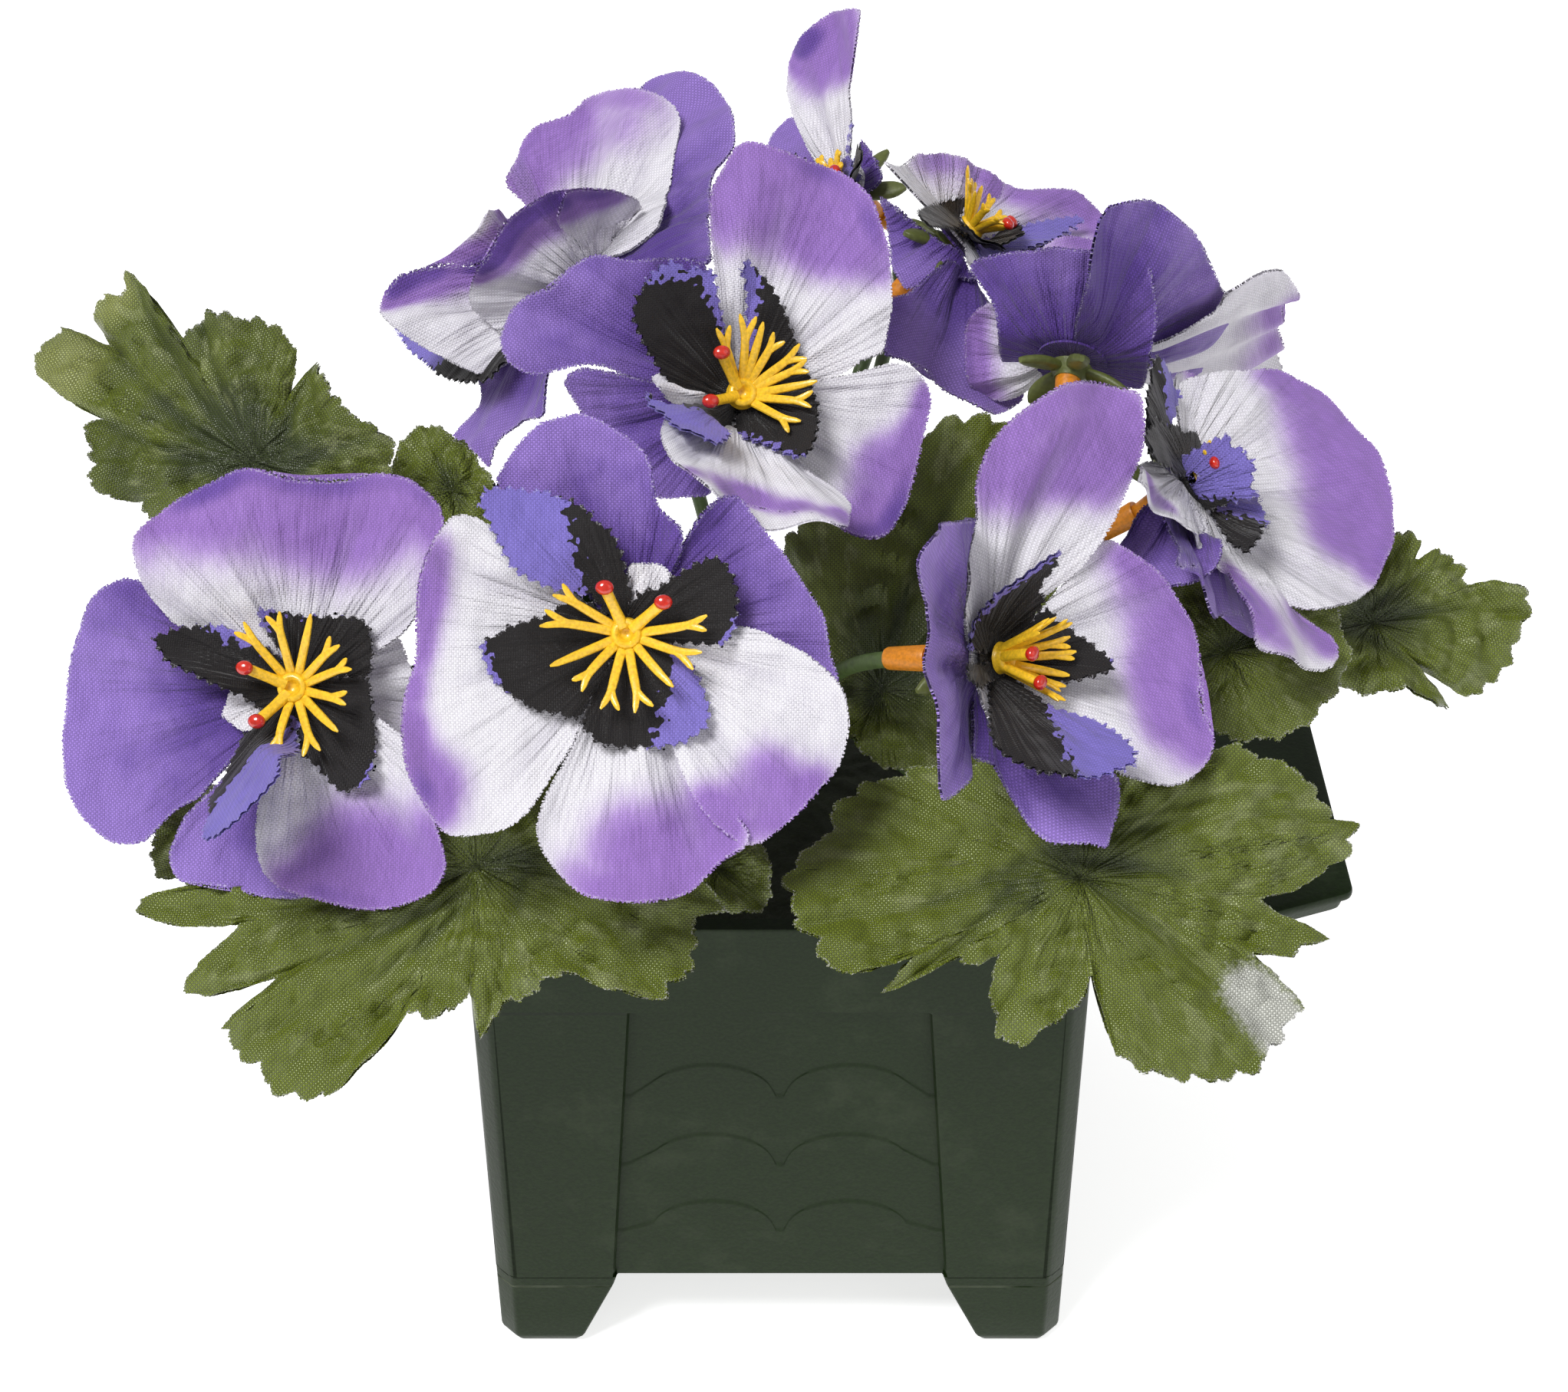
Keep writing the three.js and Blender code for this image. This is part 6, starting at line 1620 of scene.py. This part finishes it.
def add_mould_line_and_painted_shade(material, shades):
    """Adds a pale mould line around the legs and a line of painted shade along the panels' tops to a
    plastic.
    """
    sheet_ = Sheet(material.node_tree)
    shader = material.node_tree.nodes["Principled BSDF"]
    tone = shader.inputs["Base Color"].links[0].from_socket
    place = material.node_tree.nodes.new("ShaderNodeTexCoord").outputs["Object"]
    level = sheet_.add("ShaderNodeSeparateXYZ", sheet_.scaled(place, 1000.0), out=2)
    broken = sheet_.noise(place, 90.0, 2.0)
    # The second line is painted shade where the step at the panels' tops is in shadow.
    for height, half, shade, share in (
        (LEG_LINE, 0.22, tuple(shades.dust), 0.6), (PANEL_TOP, 0.3, (0.006, 0.009, 0.005, 1), 0.55),
    ):
        away = sheet_.math("ABSOLUTE", sheet_.math("SUBTRACT", level, height + ORIGIN[2] / MM))
        line = sheet_.math("MULTIPLY", sheet_.math("LESS_THAN", away, half), sheet_.ease(broken, 0.3, 0.6))
        tone = sheet_.mix(sheet_.math("MULTIPLY", line, share), tone, shade)
    sheet_.put(shader.inputs["Base Color"], tone)


# What a user may change

def tint(name, description, shade):
    """Colour property with its default."""
    return bpy.props.FloatVectorProperty(
        name=name, description=description, subtype="COLOR", size=4, min=0, max=1, default=colour(*shade))


def measure(name, description, millimetres):
    """Length property with its default."""
    return bpy.props.FloatProperty(
        name=name, description=description, unit="LENGTH", precision=5, min=0, default=millimetres * MM)


class PansyFabric(bpy.types.PropertyGroup):
    """Sizes and colours of the petal fabric"""

    fabric_thickness: measure("Fabric", "Thickness of the petal fabric", 0.4)
    thread_pitch: measure("Thread pitch", "Distance between the threads of the weave", 0.34)
    weave_depth: measure("Weave depth", "Height of the threads", 0.06)
    pleat_depth: measure("Pleats", "Depth of the pleats near the hub", 0.55)
    crease_depth: measure("Creases", "Depth of the fine creases of the petals", 1.9)
    petal_rows: bpy.props.IntProperty(name="Rows", description="Rows of a petal's grid", default=40)
    petal_columns: bpy.props.IntProperty(
        name="Columns", description="Columns of a petal's grid", default=33)
    white: tint("White", "Inner colour of the white petals", (236, 233, 241))
    orchid: tint("Orchid", "Stain of the white petals", (170, 136, 206))
    orchid_deep: tint("Deep orchid", "Strongest stain of the white petals", (138, 96, 182))
    violet: tint("Violet", "Colour of the violet petals", (150, 120, 203))
    violet_deep: tint("Deep violet", "Shaded colour of the violet petals", (92, 62, 152))
    black: tint("Black", "Colour of the eye petals", (22, 18, 19))
    lilac: tint("Lilac", "Lilac side of the eye petals", (124, 111, 194))


class PansyGreens(bpy.types.PropertyGroup):
    """Colours and relief of the green pieces"""

    leaf: tint("Leaf", "Lit colour of the leaves", (108, 121, 30))
    leaf_deep: tint("Deep leaf", "Shaded colour of the leaves", (56, 68, 22))
    stem: tint("Stem", "Colour of the stems", (72, 92, 44))
    calyx: tint("Calyx", "Colour of the calyxes", (92, 100, 46))
    vein_depth: measure("Veins", "Depth of the pressed veins", 0.8)
    curl: measure("Curl", "Height of the curled leaf rim", 1.6)
    crease_depth: measure("Creases", "Depth of the fine creases of the leaves", 2.8)


class PansyPlastics(bpy.types.PropertyGroup):
    """Colours of the plastic pieces and the foam"""

    stamen: tint("Stamens", "Colour of the stamens", (250, 200, 40))
    bead: tint("Beads", "Colour of the pistils' tips", (205, 40, 22))
    peg: tint("Peg", "Colour of the peg behind a head", (214, 132, 26))
    planter: tint("Planter", "Colour of the planter", (24, 39, 12))
    dust: tint("Dust", "Colour of the planter's scuffs", (110, 116, 100))
    foam: tint("Foam", "Colour of the foam block", (44, 50, 34))


class PansyStudio(bpy.types.PropertyGroup):
    """Floor and lights"""

    floor: tint("Floor", "Colour of the floor", (250, 250, 250))
    key_power: bpy.props.FloatProperty(
        name="Key", description="Power of the key light in watts", default=20)
    fill_power: bpy.props.FloatProperty(
        name="Fill", description="Power of the fill light in watts", default=2)
    sky: bpy.props.FloatProperty(name="Sky", description="Strength of the light all around", default=0.38)


# Operators

# Camera place in the planter's frame in millimetres, tilt in degrees, lens and sensor in millimetres
CAMERA_PLACE = (0.7, -394.1, 380.8)
CAMERA_TILT = 55
CAMERA_LENS = 65.2
CAMERA_SENSOR = 36
FLOOR_HALF = 4.0
FLOOR_GLOW = 0.7
# Lamps, in metres: place and size. They aim at one spot on the object.
LAMPS = {"key": ((-0.55, -0.6, 1.4), 0.55), "fill": ((0.9, -0.5, 0.8), 1.0)}
LAMP_AIM = (0, 0, 0.12)


class PANSY_OT_stage(bpy.types.Operator):
    """Camera, pale floor and soft studio light"""
    bl_idname = "pansy.stage"
    bl_label = "Stage"

    def execute(self, context):
        scene = context.scene
        studio = scene.pansy_studio
        camera = bpy.data.cameras.new("photograph")
        camera.sensor_width = CAMERA_SENSOR
        camera.lens = CAMERA_LENS
        camera.clip_start = 0.01
        view = bpy.data.objects.new("photograph", camera)
        view.location = np.array(CAMERA_PLACE) * MM + ORIGIN
        view.rotation_euler = (math.radians(CAMERA_TILT), 0, 0)
        scene.collection.objects.link(view)
        scene.camera = view
        mesh = bpy.data.meshes.new("floor")
        corners = [(x * FLOOR_HALF, y * FLOOR_HALF, 0) for x, y in ((-1, -1), (1, -1), (1, 1), (-1, 1))]
        mesh.from_pydata(corners, [], [(0, 1, 2, 3)])
        floor = bpy.data.objects.new("floor", mesh)
        scene.collection.objects.link(floor)
        material, sheet_, shader = new_material("pale_floor", 0.8)
        place = sheet_.tree.nodes.new("ShaderNodeTexCoord").outputs["Object"]
        soft = sheet_.noise(place, 3.0)
        pale = tuple(studio.floor)
        shade = sheet_.mix(sheet_.ease(soft, 0.3, 0.7), tuple(c * 0.98 for c in pale[:3]) + (1,), pale)
        sheet_.put(shader.inputs["Base Color"], shade)
        shader.inputs["Emission Color"].default_value = (1, 1, 1, 1)
        shader.inputs["Emission Strength"].default_value = FLOOR_GLOW
        mesh.materials.append(material)
        for name, (place, size) in LAMPS.items():
            light = bpy.data.lights.new(name, "AREA")
            light.shape = "DISK"
            light.size = size
            light.energy = getattr(studio, name + "_power")
            lamp = bpy.data.objects.new(name, light)
            lamp.location = place
            x, y, z = np.array(LAMP_AIM) - np.array(place)
            lamp.rotation_euler = (math.atan2(math.hypot(x, y), -z), 0, math.atan2(-x, y))
            scene.collection.objects.link(lamp)
        world = bpy.data.worlds.new("studio")
        world.use_nodes = True
        world.node_tree.nodes["Background"].inputs[0].default_value = (1, 1, 1, 1)
        backdrop = Sheet(world.node_tree)
        seen = world.node_tree.nodes.new("ShaderNodeLightPath").outputs["Is Camera Ray"]
        strength = backdrop.math("MULTIPLY_ADD", seen, 1 - studio.sky, studio.sky)
        backdrop.put(world.node_tree.nodes["Background"].inputs[1], strength)
        scene.world = world
        scene.view_settings.view_transform = "Standard"
        return {"FINISHED"}


class PANSY_OT_petals(bpy.types.Operator):
    """Violet, white and eye petals of every head"""
    bl_idname = "pansy.petals"
    bl_label = "Petals"

    def execute(self, context):
        settings = context.scene.pansy_fabric
        for kind in LAYERS:
            add_layers(kind, petal_cloth(kind, settings), settings)
        return {"FINISHED"}


class PANSY_OT_stamens(bpy.types.Operator):
    """Stamens, pistils and pegs of every head"""
    bl_idname = "pansy.stamens"
    bl_label = "Stamens"

    def execute(self, context):
        shades = context.scene.pansy_plastics
        yellow = plastic("stamen_yellow", tuple(shades.stamen), 0.35, 2.0, 0.00005, Coat_Weight=0.3)
        red = plastic("bead_red", tuple(shades.bead), 0.2, 2.0, 0.00003, Coat_Weight=0.6)
        orange = plastic("peg_orange", tuple(shades.peg), 0.4, 2.0, 0.00005)
        for number, head in enumerate(HEADS):
            add_piece(f"pansy_{head}_stamens", stamen_parts(head, 31 + number), [yellow, red, orange],
                      [f"flower_{head}_stamen_plug"], 40)
        return {"FINISHED"}


class PANSY_OT_calyxes(bpy.types.Operator):
    """Green calyx behind every head"""
    bl_idname = "pansy.calyxes"
    bl_label = "Calyxes"

    def execute(self, context):
        shade = tuple(context.scene.pansy_greens.calyx)
        green = plastic("calyx_plastic", shade, 0.45, 1.2, 0.0001)
        for number, head in enumerate(HEADS):
            add_piece(f"pansy_{head}_calyx", calyx_parts(head, 61 + number), [green],
                      [f"flower_{head}_calyx"])
        return {"FINISHED"}


class PANSY_OT_leaves(bpy.types.Operator):
    """Fabric leaves"""
    bl_idname = "pansy.leaves"
    bl_label = "Leaves"

    def execute(self, context):
        greens = context.scene.pansy_greens
        cloth = leaf_cloth(context.scene.pansy_fabric, greens)
        for number, (name, leaf) in enumerate(LEAVES.items()):
            large = max(radius for _, radius in leaf["outline"]) > LARGE_LEAF
            part = leaf_surface(leaf, *LEAF_GRIDS[large], greens.vein_depth / MM,
                                greens.curl / MM * (1 if large else 0.5), 5 + number)
            add_piece("cloth_" + name, [part], [cloth], [name])
        return {"FINISHED"}


class PANSY_OT_stems(bpy.types.Operator):
    """Branched plastic stem"""
    bl_idname = "pansy.stems"
    bl_label = "Stems"

    def execute(self, context):
        green = plastic("stem_plastic", tuple(context.scene.pansy_greens.stem), 0.5, 1.0, 0.00015)
        lines = stem_lines()
        share = np.linspace(0, 1, 28)
        parts = [turned(TRUNK_PROFILE, 32)]
        for line in lines.values():
            parts.append(tube(bezier(*line, share), 1.4 - 0.15 * np.sin(np.pi * share), 12))
        for leaf in LEAVES.values():
            line = stalk_line(leaf, lines[leaf["stem"]])
            parts.append(tube(bezier(*line, share), 1.1 - 0.2 * share, 10))
        add_piece("stem_branches", parts, [green], ["stem_bush"])
        return {"FINISHED"}


class PANSY_OT_planter(bpy.types.Operator):
    """Square planter with its legs and side plates"""
    bl_idname = "pansy.planter"
    bl_label = "Planter"

    def execute(self, context):
        shades = context.scene.pansy_plastics
        green = plastic("planter_plastic", tuple(shades.planter), 0.42, 1.5, 0.00006,
                        tuple(shades.dust), 0.1, Specular_IOR_Level=0.16)
        add_mould_line_and_painted_shade(green, shades)
        parts = [tub_surface(), wing_surface(-1), wing_surface(1)] + [leg_surface(q) for q in range(4)]
        add_piece("planter_tub", parts, [green], ["planter_box"], 30)
        return {"FINISHED"}


class PANSY_OT_foam(bpy.types.Operator):
    """Foam block that the trunk is pushed into"""
    bl_idname = "pansy.foam"
    bl_label = "Foam"

    def execute(self, context):
        shade = tuple(context.scene.pansy_plastics.foam)
        material = plastic("foam", shade, 0.9, 1.2, 0.0004)
        add_piece("foam_block", [foam_surface()], [material], ["floral_foam"])
        return {"FINISHED"}


OPERATORS = (
    PANSY_OT_stage, PANSY_OT_planter, PANSY_OT_foam, PANSY_OT_stems, PANSY_OT_leaves, PANSY_OT_calyxes,
    PANSY_OT_petals, PANSY_OT_stamens,
)
GROUPS_OF_SETTINGS = {
    "pansy_fabric": PansyFabric, "pansy_greens": PansyGreens, "pansy_plastics": PansyPlastics,
    "pansy_studio": PansyStudio,
}


class PANSY_PT_panel(bpy.types.Panel):
    """Lists the steps and the sizes and colours of the pansy planter"""
    bl_label = "Pansy planter"
    bl_idname = "PANSY_PT_panel"
    bl_space_type = "VIEW_3D"
    bl_region_type = "UI"
    bl_category = "Pansies"

    def draw(self, context):
        for operator in OPERATORS:
            self.layout.operator(operator.bl_idname)
        for key, kind in GROUPS_OF_SETTINGS.items():
            box = self.layout.box()
            for label in kind.__annotations__:
                box.prop(getattr(context.scene, key), label)


CLASSES = (*GROUPS_OF_SETTINGS.values(), *OPERATORS, PANSY_PT_panel)


def register():
    """Adds the classes and the scene's settings."""
    for kind in CLASSES:
        bpy.utils.register_class(kind)
    for key, kind in GROUPS_OF_SETTINGS.items():
        setattr(bpy.types.Scene, key, bpy.props.PointerProperty(type=kind))


def unregister():
    """Takes away the settings and the classes."""
    for key in GROUPS_OF_SETTINGS:
        delattr(bpy.types.Scene, key)
    for kind in reversed(CLASSES):
        bpy.utils.unregister_class(kind)


def main():
    """Builds every piece."""
    register()
    for operator in OPERATORS:
        group_name, step = operator.bl_idname.split(".")
        getattr(getattr(bpy.ops, group_name), step)()


if __name__ == "__main__":
    main()
